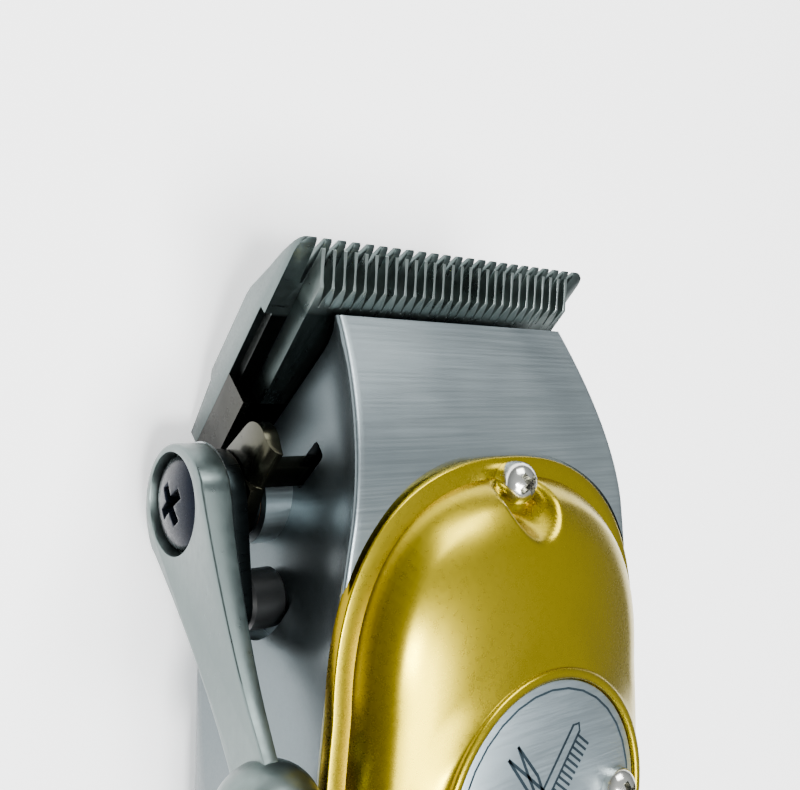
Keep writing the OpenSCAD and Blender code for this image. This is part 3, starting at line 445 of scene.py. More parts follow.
def floorHeight(y, inset):
    # underside: rounded tail, flat, chin curve, blade face
    faceY, faceZ = fromBlade(0, noseShape["faceGap"] + inset)
    slope = tiltSin / tiltCos
    chinY, chinZ = chinPoint(inset)
    flatEnd = casting["flatLength"] / 2
    if y >= chinY:
        return faceZ + (y - faceY) * slope
    if y > flatEnd:
        midY = faceY + (inset - faceZ) / slope
        a, b, c = chinY - 2 * midY + flatEnd, 2 * (midY - chinY), chinY - y
        t = (-b - math.sqrt(max(0, b * b - 4 * a * c))) / (2 * a)
        return inset + (chinZ - inset) * (1 - clamp(t)) ** 2
    if y < -flatEnd:
        r = casting["tailLength"] - inset
        t = clamp((-flatEnd - y) / r)
        return casting["tailLength"] - r * math.sqrt(1 - t * t)
    return inset


def hollowAt(y, z):
    # the nose's sides are hollowed below a crisp crease
    lengthways = smooth((y - casting["hollowStart"]) / 9)
    down = clamp((roofHeight(y) - 0.7 - z) / 7.5)
    return casting["hollowDepth"] * lengthways * math.sin(math.pi / 2 * down) ** 0.85


def sectionHalf(y, sideInset, inset, top, hollow):
    # right half of a cross-section, from the top's middle round to the underside's middle
    w = max(0.02, halfWidth(y) - sideInset)
    low = floorHeight(y, inset)
    top = max(top, low + 0.1)
    edge = min(casting["edgeRadius"], (top - low) * 0.4, w * 0.4)
    points = [(w - edge) * t for t in (0, 0.25, 0.5, 0.75, 0.9, 0.97)]
    points = [(x, top) for x in points]
    r = casting["bellyRadius"] - inset
    flat = casting["width"] / 2 - casting["bellyRadius"]
    start = math.acos(clamp((w - flat) / r)) if w > flat else math.pi / 2
    end = math.asin(clamp((casting["bellyRadius"] - low) / r))
    end = max(start, end)
    sideLow = max(low, casting["bellyRadius"] - r * math.sin(start))

    def out(z):
        return w - (hollowAt(y, z) if hollow else 0)
    for k in range(5):
        a = math.pi / 2 * k / 4
        z = top - edge + edge * math.cos(a)
        points.append((out(z) - edge + edge * math.sin(a), z))
    sideTop = top - edge
    for k in range(1, 27):
        z = sideTop + (sideLow - sideTop) * k / 26
        points.append((out(z), z))
    for k in range(1, 11):
        a = start + (end - start) * k / 10
        z = casting["bellyRadius"] - r * math.sin(a)
        x = min(out(z), flat + r * math.cos(a)) if w > flat else w
        points.append((x, max(low, z)))
    lastX = points[-1][0]
    for t in (0.98, 0.7, 0.35, 0):
        points.append((lastX * t, low))
    return points


def castForm(stations, sideInset, inset, topOf, hollow):
    # a closed loft through cross-sections at the stations
    rings = []
    for y in stations:
        half = sectionHalf(y, sideInset, inset, topOf(y), hollow)
        ring = [(x, y, z) for x, z in half] + [(-x, y, z) for x, z in reversed(half[1:-1])]
        rings.append(ring)
    count = len(rings[0])
    return bendGrid(count, len(rings) - 1, lambda i, j: rings[j][i % count], 0.001)


def span(start, end, steps):
    return [start + (end - start) * k / steps for k in range(steps)]


def leftRod(radius, far, near, centre, sides=48):
    # a rod along X on the lever side, from far to near, round a centre's Y and Z
    return reshape(rodPiece(radius, -far, -near, sides), shift(0, centre["y"], centre["z"]) @ turn(90, "Y"))


def makeCasting():
    seat = casting["seatHeight"]
    stations = span(frontY, frontY - 3, 8) + span(frontY - 3, 46, 44) + span(46, tailY, 26)
    stations += [tailY - casting["tailRound"] * math.sin(math.radians(a)) for a in (
        0, 8, 16, 24, 32, 40, 47, 54, 60, 66, 71, 76, 80, 84, 87, 89.3)]
    piece = castForm(stations, 0, 0, roofHeight, True)
    spaceFront, tailInside = 49.8, casting["tailRound"] - casting["wall"]
    spaceStations = span(spaceFront, tailY, 24) + [
        tailY - tailInside * math.sin(math.radians(a)) for a in (0, 15, 30, 45, 60, 72, 82)]
    motorSpace = castForm(
        spaceStations, casting["wall"], casting["wall"], lambda y: casting["hollowTop"], False)
    cutAway(piece, motorSpace)
    noseSpace = castForm(span(frontY - 2.4, 48, 24) + [48], casting["wall"] + casting["hollowDepth"],
                         casting["wall"], lambda y: roofHeight(y) - casting["wall"], False)
    cutAway(piece, noseSpace)
    # boss of the lever's pivot
    cutAway(piece, leftRod(casting["bossRadius"], casting["bossOut"], 14, pivot), "UNION")
    # seat of the cover, stepped down from the nose
    room = 0.4
    outline = [(x + (room if x > 0 else -room), y + room) for x, y in coverOutline(0)]
    cutAway(piece, slabPiece(outline, seat, casting["above"]))
    cutAway(piece, boxPiece((-40, rearY - 5, seat), (40, coverShape["midY"] + 12, casting["above"])))
    # bush bore, spot face of the stand-off and the openings of the blade face
    cutAway(piece, leftRod(casting["bushRadius"], 40, 9, pivot))
    cutAway(piece, leftRod(casting["spotRadius"], 40, standOff["x"], standOff))
    cutAway(piece, reshape(boxPiece(*openings["driveArm"]), onBlade))
    slot = boxPiece((-40, link["tabBack"] - 0.4, link["tabTop"] - 2.2),
                    (-12.5, link["tabEnd"] + 2.2, link["tabTop"] + 0.4))
    cutAway(piece, reshape(softenEdges(slot, 0.6, 60, 3), onBlade))
    cutAway(piece, reshape(boxPiece(*openings["linkLeg"]), onBlade))
    # switch slot, power screw hole and cord entry
    cutAway(piece, softenEdges(boxPiece(*openings["switch"]), 1.2, 60, 3))
    hole = rodPiece(powerHole["radius"], 15, 40)
    cutAway(piece, reshape(hole, shift(0, powerHole["y"], powerHole["z"]) @ turn(90, "Y")))
    cutAway(piece, reshape(rodPiece(cordHole["radius"], 50, 75), shift(0, 0, cordHole["z"]) @ turn(90, "X")))
    return finishPiece(piece, "bodyCasting", "body", castAluminium, ["housing"], 32)


# the domed cover and the badge's plate

badgeShape = {"radius": 14.75, "thickness": 1.2, "etchHeight": 0.03}
coverShape = {
    "sheet": 1.5, "frontY": 76, "round": 26, "gap": 0.2, "domeHeight": 7.3, "flange": 2.3,
    "screwIn": 2.9, "pad": 0.8, "scoopRadius": 2.2, "scoopBlend": 2.4, "scoopStretch": 1.4,
    "badgeY": 37, "badgeRadius": 14.8, "badgeRaise": 0.2, "rimRaise": 0.4, "lip": 1.35,
    "rimWidth": 1.3, "filletWidth": 3.6, "power": 2.4,
}
coverShape["midY"] = coverShape["frontY"] - coverShape["round"]
coverHalf = halfWidth(coverShape["midY"]) - coverShape["gap"]
flangeZ = casting["seatHeight"] + coverShape["sheet"]
domeTop = flangeZ + coverShape["domeHeight"]
badgeTop = domeTop + coverShape["badgeRaise"]
rimTop = badgeTop + coverShape["rimRaise"]
screwPlaces = {
    "front": (0, coverShape["frontY"] - coverShape["screwIn"], flangeZ + coverShape["pad"]),
    "rear": (0, rearY + coverShape["gap"] + coverShape["screwIn"], flangeZ + coverShape["pad"]),
    "badge": (11.6, coverShape["badgeY"], badgeTop),
}
pivot = {"y": 70, "z": 15.5, "angle": 37}
standOff = {"y": 58.98, "z": 19.73, "x": 20.82, "angle": 21, "reach": 11.8, "radius": 3.5}
link = {
    "y": -30.1, "z": 10.98, "x": 23.43, "sheet": 1.8, "width": 8.4, "front": -17.8,
    "endRadius": 3, "rise": 0.3,
    "tabTop": 14.28, "tabBack": -24.2, "tabEnd": -21, "bend": 2.1, "tabInner": 12.9,
    # the cam's notch, and the leg inside the body that holds the carriage
    "notchBack": 2.45, "notchFront": 0.7, "notchLow": 7.2, "notchHigh": 0.2,
    "legOuter": 15, "legInner": 13.2, "legBack": -29.6, "legFront": -24.6, "legLow": 3.8,
}
domeSteps = [(0, 0), (1, 0.28), (2.9, 0.58), (6.2, 0.8), (11.5, 0.94), (17, 1)]


def coverOutline(inset, steps=40):
    # the cover's outline seen from above, as one loop
    half, mid, power = coverHalf - inset, coverShape["midY"], coverShape["power"]
    right = []
    for k in range(steps):
        a = math.pi / 2 * (1 - k / steps)
        right.append((half * abs(math.cos(a)) ** (2 / power),
                      mid + (coverShape["round"] - inset) * abs(math.sin(a)) ** (2 / power)))
    right += [(halfWidth(y) - coverShape["gap"] - inset, y) for y in span(mid, tailY, steps)]
    for k in range(steps // 2 + 1):
        a = math.pi / 2 * k / (steps // 2)
        right.append(((casting["tailWidth"] / 2 - coverShape["gap"] - inset) * math.cos(a),
                      tailY - (casting["tailRound"] - coverShape["gap"] - inset) * math.sin(a)))
    return right + [(-x, y) for x, y in reversed(right[1:-1])]


def insetAt(x, y):
    # how far inside the cover's outline a point lies
    x = abs(x)
    if tailY <= y <= coverShape["midY"]:
        return halfWidth(y) - coverShape["gap"] - x
    if y > coverShape["midY"]:
        a, b, dy, power = coverHalf, coverShape["round"], y - coverShape["midY"], coverShape["power"]
    else:
        a = casting["tailWidth"] / 2 - coverShape["gap"]
        b, dy, power = casting["tailRound"] - coverShape["gap"], tailY - y, 2.0
    low, high = -30.0, min(a, b) - 0.001
    for _ in range(24):
        mid = (low + high) / 2
        if (x / (a - mid)) ** power + (dy / (b - mid)) ** power < 1:
            low = mid
        else:
            high = mid
    return (low + high) / 2


def domeShare(s):
    # a smooth curve through domeSteps that never falls
    if s <= 0:
        return 0.0
    if s >= domeSteps[-1][0]:
        return 1.0
    slopes = [(b[1] - a[1]) / (b[0] - a[0]) for a, b in zip(domeSteps, domeSteps[1:])]
    tangents = [slopes[0] * 1.25]
    for left, right in zip(slopes, slopes[1:]):
        tangents.append(2 * left * right / (left + right))
    tangents.append(0)
    for k in range(len(slopes)):
        (x0, y0), (x1, y1) = domeSteps[k], domeSteps[k + 1]
        if s <= x1:
            h = x1 - x0
            t = (s - x0) / h
            return ((2 * t ** 3 - 3 * t ** 2 + 1) * y0 + (t ** 3 - 2 * t ** 2 + t) * h * tangents[k]
                    + (3 * t ** 2 - 2 * t ** 3) * y1 + (t ** 3 - t ** 2) * h * tangents[k + 1])
    return 1.0


def domeAt(x, y):
    return flangeZ + coverShape["domeHeight"] * domeShare(insetAt(x, y) - coverShape["flange"])


def scooped(x, y, z):
    # sinks the dome round each cover screw and runs out behind it in a drop shape
    for screw, way in (("front", 1), ("rear", -1)):
        back = (screwPlaces[screw][1] - y) * way
        if -6 < back < 14:
            away = math.hypot(x, back / coverShape["scoopStretch"] if back > 0 else back)
            low = flangeZ + coverShape["pad"] * 0.6
            if z > low:
                z = low + (z - low) * smooth((away - coverShape["scoopRadius"]) / coverShape["scoopBlend"])
    return z


def coverTop(x, y):
    z = scooped(x, y, domeAt(x, y))
    r = math.hypot(x, y - coverShape["badgeY"])
    rimOut = coverShape["badgeRadius"] + coverShape["rimWidth"]
    t = clamp((rimOut + coverShape["filletWidth"] - r) / coverShape["filletWidth"])
    lift = min(2.3, rimTop - z - 0.5)
    return z + max(0, lift) * (1 - math.sqrt(1 - t * t))


def makeCover():
    badgeY, rimOut = coverShape["badgeY"], coverShape["badgeRadius"] + coverShape["rimWidth"]
    badgeRadius, flange = coverShape["badgeRadius"] + 0.12, coverShape["flange"]
    seatZ = badgeTop - badgeShape["thickness"]
    angles = []
    a = 0.0
    while a < 180:
        angles.append(a)
        toFront, toRear = a, 180 - a
        a += 0.5 if toFront < 12 or toRear < 4 else (1.0 if toRear < 14 else 2.2)
    angles.append(180.0)
    rays = []
    for a in angles:
        c, s = math.sin(math.radians(a)), math.cos(math.radians(a))

        def reach(inset):
            low, high = 15.0, 110.0
            for _ in range(26):
                mid = (low + high) / 2
                if insetAt(mid * c, badgeY + mid * s) > inset:
                    low = mid
                else:
                    high = mid
            return low
        outer, foot = reach(0), reach(flange)
        pace = (outer - foot) / flange
        ray = []
        for r, z in ((outer, casting["seatHeight"] + 0.02), (outer, flangeZ - 0.25),
                     (outer - 0.08 * pace, flangeZ - 0.07), (outer - 0.25 * pace, flangeZ)):
            ray.append((r, z))
        for k in (0.55, 0.85, 0.96):
            ray.append((outer - (outer - foot) * k, flangeZ))
        start = rimOut + coverShape["filletWidth"]
        beyond = [foot - pace * d for d in (-0.02, 0.08, 0.2, 0.4, 0.65, 0.95, 1.3)]
        for r in beyond:
            ray.append((r, None))
        for k in range(1, 37):
            ray.append((beyond[-1] + (start - beyond[-1]) * k / 36, None))
        for k in (0.1, 0.22, 0.35, 0.48, 0.6, 0.7, 0.79, 0.86, 0.92, 0.96, 0.985, 0.999):
            ray.append((start - coverShape["filletWidth"] * k, None))
        for r, z in ((rimOut, rimTop - 0.5), (rimOut - 0.06, rimTop - 0.25), (rimOut - 0.2, rimTop - 0.08),
                     (rimOut - 0.45, rimTop), (badgeRadius + 0.4, rimTop),
                     (badgeRadius + 0.14, rimTop - 0.06), (badgeRadius, rimTop - 0.22),
                     (badgeRadius, seatZ), (badgeRadius * 0.6, seatZ), (0, seatZ)):
            ray.append((r, z))
        rays.append([(r * c, badgeY + r * s, coverTop(r * c, badgeY + r * s) if z is None else z)
                     for r, z in ray])
    rays += [[(-x, y, z) for x, y, z in ray] for ray in reversed(rays[1:-1])]
    count = len(rays)
    deselectAll()
    bpy.ops.mesh.primitive_grid_add(x_subdivisions=count, y_subdivisions=len(rays[0]) - 1, size=2)
    piece = bpy.context.object
    rows = len(rays[0]) - 1
    movePoints(piece, lambda co: rays[round((co.x + 1) / 2 * count) % count][round((co.y + 1) / 2 * rows)])
    startEdit(piece)
    bpy.ops.mesh.remove_doubles(threshold=0.001)
    bpy.ops.mesh.normals_make_consistent(inside=False)
    bpy.ops.object.mode_set(mode="OBJECT")
    upward = sum(face.normal.z * face.area for face in piece.data.polygons)
    if upward < 0:
        piece.data.flip_normals()
    applyModifier(piece, "SOLIDIFY", thickness=coverShape["lip"], offset=-1, use_rim=True)
    return finishPiece(piece, "domedCover", "body", goldAnodised, ["top_cover"], 50)

# screws and badge

headShape = {
    "radius": 2.5, "height": 2.7, "collar": 0.85, "slotWidth": 0.95, "slotReach": 1.7, "slotDepth": 1.6,
}
# how far each head is turned, in degrees
headTurns = {"front": 38, "rear": 15, "badgeLeft": 65, "badgeRight": 20}


def screwHead(shape):
    # tall domed head with a crossed recess, its seat at z = 0
    r, h = shape["radius"], shape["height"]
    foot = -shape["collar"]
    profile = [(0, foot), (r * 0.93, foot), (r * 0.97, foot + 0.1), (r, 0.1), (r, h * 0.28)]
    profile += [(r * math.cos(a), h * 0.28 + h * 0.72 * math.sin(a))
                for a in (math.radians(d) for d in (10, 20, 30, 40, 50, 60, 70, 79))]
    profile += [(0, h)]
    head = turnedPiece(profile, 56)
    for angle in (0, 90):
        arm = boxPiece((-shape["slotReach"], -shape["slotWidth"] / 2, h - shape["slotDepth"]),
                       (shape["slotReach"], shape["slotWidth"] / 2, h + 1))
        # the recess narrows as it goes down
        movePoints(arm, lambda co: (
            co.x * (0.55 if co.z < h else 1.12), co.y * (0.6 if co.z < h else 1.1), co.z))
        cutAway(head, reshape(arm, turn(angle, "Z")))
    return softenEdges(head, 0.07, 40, 2)


def copyPiece(piece):
    twin = piece.copy()
    twin.data = piece.data.copy()
    bpy.context.scene.collection.objects.link(twin)
    return twin


def makeScrews():
    master = screwHead(headShape)
    twins = [reshape(copyPiece(master), shift(*screwPlaces["front"]) @ turn(headTurns["front"], "Z")),
             reshape(copyPiece(master), shift(*screwPlaces["rear"]) @ turn(headTurns["rear"], "Z"))]
    finishPiece(joinPieces(twins), "coverScrewHeads", "body", nickelScrew, ["cover_screws"])
    x, y, z = screwPlaces["badge"]
    twins = [reshape(copyPiece(master), shift(x, y, z - 0.5) @ turn(headTurns["badgeRight"], "Z")),
             reshape(master, shift(-x, y, z - 0.5) @ turn(headTurns["badgeLeft"], "Z"))]
    finishPiece(joinPieces(twins), "badgeScrewHeads", "body", nickelScrew, ["badge_screws"])



def etchedLine(points, width):
    # a thin flat stroke along the points, standing just proud of the plate
    low, high = badgeTop - 0.05, badgeTop + badgeShape["etchHeight"]
    left, right = [], []
    for k, point in enumerate(points):
        before, after = Vector(points[max(0, k - 1)]), Vector(points[min(len(points) - 1, k + 1)])
        way = (after - before).normalized()
        side = Vector((-way.y, way.x)) * width / 2
        left.append(Vector(point) + side)
        right.append(Vector(point) - side)
    return slabPiece([tuple(p) for p in left + right[::-1]], low, high)


def etchedRing(x, y, outer, inner, squeeze, angle):
    ring = []
    for radius in (outer, inner):
        for a in (math.tau * k / 32 for k in range(33)):
            u, v = radius * math.cos(a), radius * squeeze * math.sin(a)
            ring.append((x + u * math.cos(angle) - v * math.sin(angle),
                         y + u * math.sin(angle) + v * math.cos(angle)))
    outside, inside = ring[:33], ring[33:]
    outline = outside[:-1] + [outside[0]] + [inside[0]] + inside[1:][::-1]
    return slabPiece(outline, badgeTop - 0.05, badgeTop + badgeShape["etchHeight"])


motif = {
    "rise": 0.6, "combAngle": 52, "combTeeth": 25, "combPitch": 0.72, "scissorsAngle": 38, "ringLean": 20,
}


def makeBadge():
    r, t = badgeShape["radius"], badgeShape["thickness"]
    profile = [(0, 0), (r, 0), (r, t - 0.22), (r - 0.07, t - 0.07), (r - 0.22, t), (r * 0.5, t), (0, t)]
    plate = turnedPiece(profile, 128)
    reshape(plate, shift(0, coverShape["badgeY"], badgeTop - t))
    finishPiece(plate, "badgePlate", "body", badgeSteel, ["badge_plate"])
    # a comb crossed with a pair of scissors
    marks = []
    cx, cy = 0.0, coverShape["badgeY"] + motif["rise"]

    def turned(points, degrees):
        c, s = math.cos(math.radians(degrees)), math.sin(math.radians(degrees))
        return [(cx + x * c - y * s, cy + x * s + y * c) for x, y in points]
    comb = [(-9.4, 0.9), (9.0, 0.9), (9.6, 1.6), (9.0, 2.3), (-9.0, 2.3), (-9.6, 1.7), (-9.4, 0.9)]
    marks.append(etchedLine(turned(comb, motif["combAngle"]), 0.32))
    for k in range(motif["combTeeth"]):
        x = -8.8 + k * motif["combPitch"]
        marks.append(etchedLine(turned([(x, 0.8), (x, -1.5)], motif["combAngle"]), 0.3))
    lean = motif["scissorsAngle"]
    for side in (1, -1):
        blade = [(-1.2 * side, 0), (0.2 * side, 1.2), (1.0 * side, 4.5), (0.9 * side, 9.6)]
        edge = [(-1.2 * side, 0), (-0.7 * side, 1.9), (0.0, 5.5), (0.9 * side, 9.6)]
        marks.append(etchedLine(turned(blade, lean), 0.36))
        marks.append(etchedLine(turned(edge, lean), 0.36))
        handle = [(0.9 * side, 0.2), (-0.6 * side, -2.4), (-1.6 * side, -4.4)]
        marks.append(etchedLine(turned(handle, lean), 0.7))
        ringX, ringY = turned([(-2.9 * side, -6.7)], lean)[0]
        ringAngle = math.radians(lean + 90 - motif["ringLean"] * side)
        marks.append(etchedRing(ringX, ringY, 2.6, 1.9, 0.82, ringAngle))
    ringX, ringY = turned([(0, 0.3)], lean)[0]
    marks.append(etchedRing(ringX, ringY, 0.75, 0.35, 1, 0))
    marks.append(etchedRing(cx, coverShape["badgeY"], 13.9, 13.65, 1, 0))
    finishPiece(joinPieces(marks), "badgeEtching", "body", etchedMark)


# the blades

bladeShape = {
    "width": 46.8, "teeth": 23, "pocket": 1, "strip": -1.15, "back": -33.4,
    "cutterWidth": 40.6, "cutterTeeth": 28, "cutterThickness": 3, "setback": 0.6, "cutterLength": 21.8,
    "bevelBack": 3.9, "gap": 0.03, "pocketFront": -10.4,
    # the fixed blade's section behind its rounded tip, from the front round to the heel
    "section": [(-0.25, 0), (0.25, -0.12), (0.42, -0.34), (0.2, -0.62), (-1.1, -1.05), (-3, -1.9),
                (-5.9, -2.9), (-10.4, -4.62), (-11.6, -4.8), (-23.8, -4.8), (-24.3, -4.5), (-24.8, -4.12)],
    "heel": -3.2, "toothGap": [(-0.22, -5.6), (0, -5.85), (0.22, -5.6), (0.62, 2), (-0.62, 2)],
    # half of a gap between cutter teeth: a saw slit that opens into a leaf
    "leaf": [(0.07, -6.6), (0.1, -5.6), (0.3, -4.7), (0.52, -3.9), (0.6, -3.2), (0.6, -2.2), (0.5, -1),
             (0.46, 0.6)],
}


def extrudedAcross(profile, low, high):
    # a profile of (y, z) points, extruded along X
    piece = slabPiece(profile, low, high)
    # the slab's X, Y and Z become Y, Z and X
    return reshape(piece, Matrix(((0, 0, 1, 0), (1, 0, 0, 0), (0, 1, 0, 0), (0, 0, 0, 1))))


def cutTeeth(piece, outline, teeth, pitch, low, high):
    # the gaps between the teeth, in two passes so that no two tools touch
    for first in (1, 2):
        tools = []
        for k in range(first, teeth, 2):
            tools.append(reshape(slabPiece(outline, low, high), shift((k - teeth / 2) * pitch, 0, 0)))
        cutAway(piece, joinPieces(tools))


def makeFixedBlade():
    half, pitch = bladeShape["width"] / 2, bladeShape["width"] / (bladeShape["teeth"] + 0.8)
    back = bladeShape["back"]
    piece = extrudedAcross([(back, 0)] + bladeShape["section"] + [(back, bladeShape["heel"])], -half, half)
    cutTeeth(piece, bladeShape["toothGap"], bladeShape["teeth"], pitch, -6, 2)
    # rounded outer corners of the two wide teeth
    for side in (1, -1):
        corner = slabPiece([(0, 0.6), (0.6, 0.6), (0.6, -1.7), (0, -1.7), (-0.1, -0.95), (-0.42, -0.3),
                            (-0.95, 0.12), (-1.7, 0.3), (-1.7, 0.6)], -6, 2)
        reshape(corner, Matrix.Diagonal((side, 1, 1, 1)))
        cutAway(piece, reshape(corner, shift(side * half, 0.16, 0)))
        # long pocket in the side face
        pocket = boxPiece((-bladeShape["pocket"], back - 1, bladeShape["strip"]),
                          (1, bladeShape["pocketFront"], 0.8))
        reshape(pocket, Matrix.Diagonal((side, 1, 1, 1)))
        cutAway(piece, reshape(pocket, shift(side * half, 0, 0)))
    cutAway(piece, boxPiece((-18, -20, -8), (18, -13.5, -3.9)))
    softenEdges(piece, 0.09, 38, 2)
    reshape(piece, onBlade)
    return finishPiece(piece, "fixedBlade", "carriage", bladeSteel, ["fixed_blade"], 30)


def makeCutter():
    w, top = bladeShape["cutterWidth"] / 2, bladeShape["cutterThickness"]
    pitch = bladeShape["cutterWidth"] / (bladeShape["cutterTeeth"] - 0.6)
    tip = -bladeShape["setback"]
    back = tip - bladeShape["cutterLength"]
    low, bevel = bladeShape["gap"], tip - bladeShape["bevelBack"] + 0.6
    profile = [(back, low), (tip - 0.05, low), (tip, 0.1), (tip - 0.05, 0.22), (bevel, top),
               (back + 0.4, top), (back, top - 0.4)]
    piece = extrudedAcross(profile, -w, w)
    leaf = bladeShape["leaf"]
    cutTeeth(piece, leaf + [(-a, b) for a, b in reversed(leaf)], bladeShape["cutterTeeth"], pitch, -1, 5)
    cutAway(piece, boxPiece((-2.5, -18.5, -1), (2.5, -11.5, 9)))
    softenEdges(piece, 0.035, 30, 1)
    reshape(piece, onBlade)
    return finishPiece(piece, "cutterBlade", "cutter", cutterSteel, ["cutter_blade"], 25)


carriage = {"front": -24.6, "cheekFront": -21, "top": 3.8, "clear": 0.02}


def makeCarriage():
    half, inner = bladeShape["width"] / 2, bladeShape["width"] / 2 - bladeShape["pocket"]
    back, low, top = bladeShape["back"], carriage["clear"], carriage["top"]
    piece = boxPiece((-half, back, low), (half, carriage["front"], top))
    for side in (1, -1):
        cheek = boxPiece((inner, back, bladeShape["strip"] + low), (half, carriage["cheekFront"], top))
        cutAway(piece, reshape(cheek, Matrix.Diagonal((side, 1, 1, 1))), "UNION")
    softenEdges(piece, 0.3, 50, 3)
    reshape(piece, onBlade)
    return finishPiece(piece, "bladeCarriage", "carriage", oiledNickel, ["blade_carriage"])


# link, plates and taper lever

leverShape = {
    "x": 28.23, "thickness": 3.6, "endThickness": 1.45, "eye": 7.75, "eyeShift": 1.06, "length": 35,
    "startWidth": 7.55, "endWidth": 7.5, "ball": 5.6, "ballOut": 1.1, "recess": 5.9, "recessDepth": 2,
    "edge": 0.32, "hubBore": 4.36, "armStart": 2.2, "waist": 24, "thinFrom": 4,
}
leverScrewShape = {
    "radius": 5.5, "height": 2.2, "collar": 0, "slotWidth": 1.5, "slotReach": 2.9, "slotDepth": 1.6,
    "turned": 35,
}


def makeLink():
    # bent sheet: the outer plate turns over a radius into the tab that enters the body
    zc, outer, front, top = link["z"], -link["x"] - link["sheet"], link["front"], link["tabTop"]
    big, small = link["width"] / 2 + 0.6, link["endRadius"]
    endY, endZ = front - small, zc + link["rise"]
    lean = math.asin((big - small) / (endY - link["y"]))
    outline = [(link["tabBack"], top), (front - 0.9, top)]
    for k in range(25):
        a = math.pi * 0.15 - (math.pi * 0.65 - lean) * k / 24
        outline.append((endY + small * math.cos(a), endZ + small * math.sin(a)))
    for k in range(33):
        a = -math.pi / 2 + lean - (math.pi + 2 * lean) * k / 32
        outline.append((link["y"] + big * math.cos(a), zc + big * math.sin(a)))
    plate = extrudedAcross(outline, outer, -link["x"])
    cutAway(plate, boxPiece((-40, link["y"] - link["notchBack"], zc - link["notchLow"]),
                            (0, link["y"] + link["notchFront"], zc - link["notchHigh"])))
    legOuter, legInner, legBack = -link["legOuter"], -link["legInner"], link["legBack"]
    for low, high in (
            ((outer + 0.5, link["tabBack"], top - link["sheet"]), (-link["tabInner"], link["tabEnd"], top)),
            ((legOuter, legBack, link["legLow"]), (legInner, link["legFront"], top - 2)),
            ((legOuter, legBack, top - 3.7), (legInner, link["tabEnd"], top - 1))):
        cutAway(plate, boxPiece(low, high), "UNION")
    # the bend's outside
    r = link["bend"]
    arc = [(outer + r - r * math.sin(a), top - r + r * math.cos(a))
           for a in (math.pi / 2 * k / 8 for k in range(9))]
    waste = [(outer + r, top + 1)] + arc + [(outer - 1, top - r), (outer - 1, top + 1)]
    corner = slabPiece(waste, -(front + 2), 0.3 - link["tabBack"])
    cutAway(plate, reshape(corner, turn(90, "X")))
    softenEdges(plate, 0.35, 50, 3)
    reshape(plate, onBlade)
    return finishPiece(plate, "linkArm", "carriage", nickelPlate, ["link_arm"])


def leverOutline(points, angle=pivot["angle"]):
    # points along an arm from the pivot, turned to its angle, in the row frame's Y and Z
    a = math.radians(angle)
    return [(pivot["y"] - u * math.cos(a) + v * math.sin(a), pivot["z"] + u * math.sin(a) + v * math.cos(a))
            for u, v in points]


def makeLever():
    s = leverShape
    upper = [(s["eyeShift"] - s["eye"] * math.cos(math.radians(d)), s["eye"] * math.sin(math.radians(d)))
             for d in range(0, 96, 5)]
    narrowing = s["endWidth"] / 2 - 0.1 - s["startWidth"]
    for k in range(45):
        u = s["armStart"] + (s["length"] - s["armStart"]) * k / 44
        t = clamp((u - 2) / s["waist"])
        upper.append((u, s["startWidth"] + narrowing * (1 - (1 - t) ** 1.6)))
    outline = upper + [(u, -v) for u, v in reversed(upper[1:])]
    outerX = -s["x"] - s["thickness"]
    piece = extrudedAcross(leverOutline(outline), outerX, -s["x"])
    softenEdges(piece, s["edge"], 50, 3)
    c, d = math.cos(math.radians(pivot["angle"])), math.sin(math.radians(pivot["angle"]))

    def thinned(co):
        # the inner face closes on the outer one towards the ball
        along = (pivot["y"] - co.y) * c + (co.z - pivot["z"]) * d
        t = clamp((along - s["thinFrom"]) / (s["length"] - s["thinFrom"]))
        share = 1 - (1 - s["endThickness"] / s["thickness"]) * t ** 0.75
        return (outerX + (co.x - outerX) * share, co.y, co.z)
    movePoints(piece, thinned)
    centre = leverOutline([(s["length"], 0)])[0]
    deselectAll()
    bpy.ops.mesh.primitive_uv_sphere_add(segments=48, ring_count=32, radius=s["ball"])
    ballX = -s["x"] - s["thickness"] / 2 - s["ballOut"]
    ball = reshape(bpy.context.object, shift(ballX, *centre) @ turn(90, "Y"))
    cutAway(piece, ball, "UNION")
    cutAway(piece, leftRod(s["recess"], 50, s["x"] + s["thickness"] - s["recessDepth"], pivot, 64))
    cutAway(piece, leftRod(s["hubBore"], 50, 5, pivot, 64))
    pickEdges(piece, lambda a, b: all(
        abs(math.hypot(p.y - pivot["y"], p.z - pivot["z"]) - s["recess"]) < 0.05
        and abs(p.x + s["x"] + s["thickness"]) < 0.05 for p in (a, b)))
    bpy.ops.mesh.bevel(offset=0.14, segments=2)
    bpy.ops.object.mode_set(mode="OBJECT")
    return finishPiece(piece, "taperLever", "lever", leverAluminium, ["taper_lever"])


def makeLeverScrew():
    bottom = -leverShape["x"] - leverShape["thickness"] + leverShape["recessDepth"]
    head = reshape(screwHead(leverScrewShape), shift(bottom, pivot["y"], pivot["z"])
                   @ leftward @ turn(leverScrewShape["turned"], "Z"))
    return finishPiece(head, "leverScrewHead", "lever", darkScrew, ["lever_screw"])


plateShape = {"gap": 0.1, "thickness": 2.6, "radius": 6.1, "screwHole": 2.5, "screwHoleIn": 1.4}


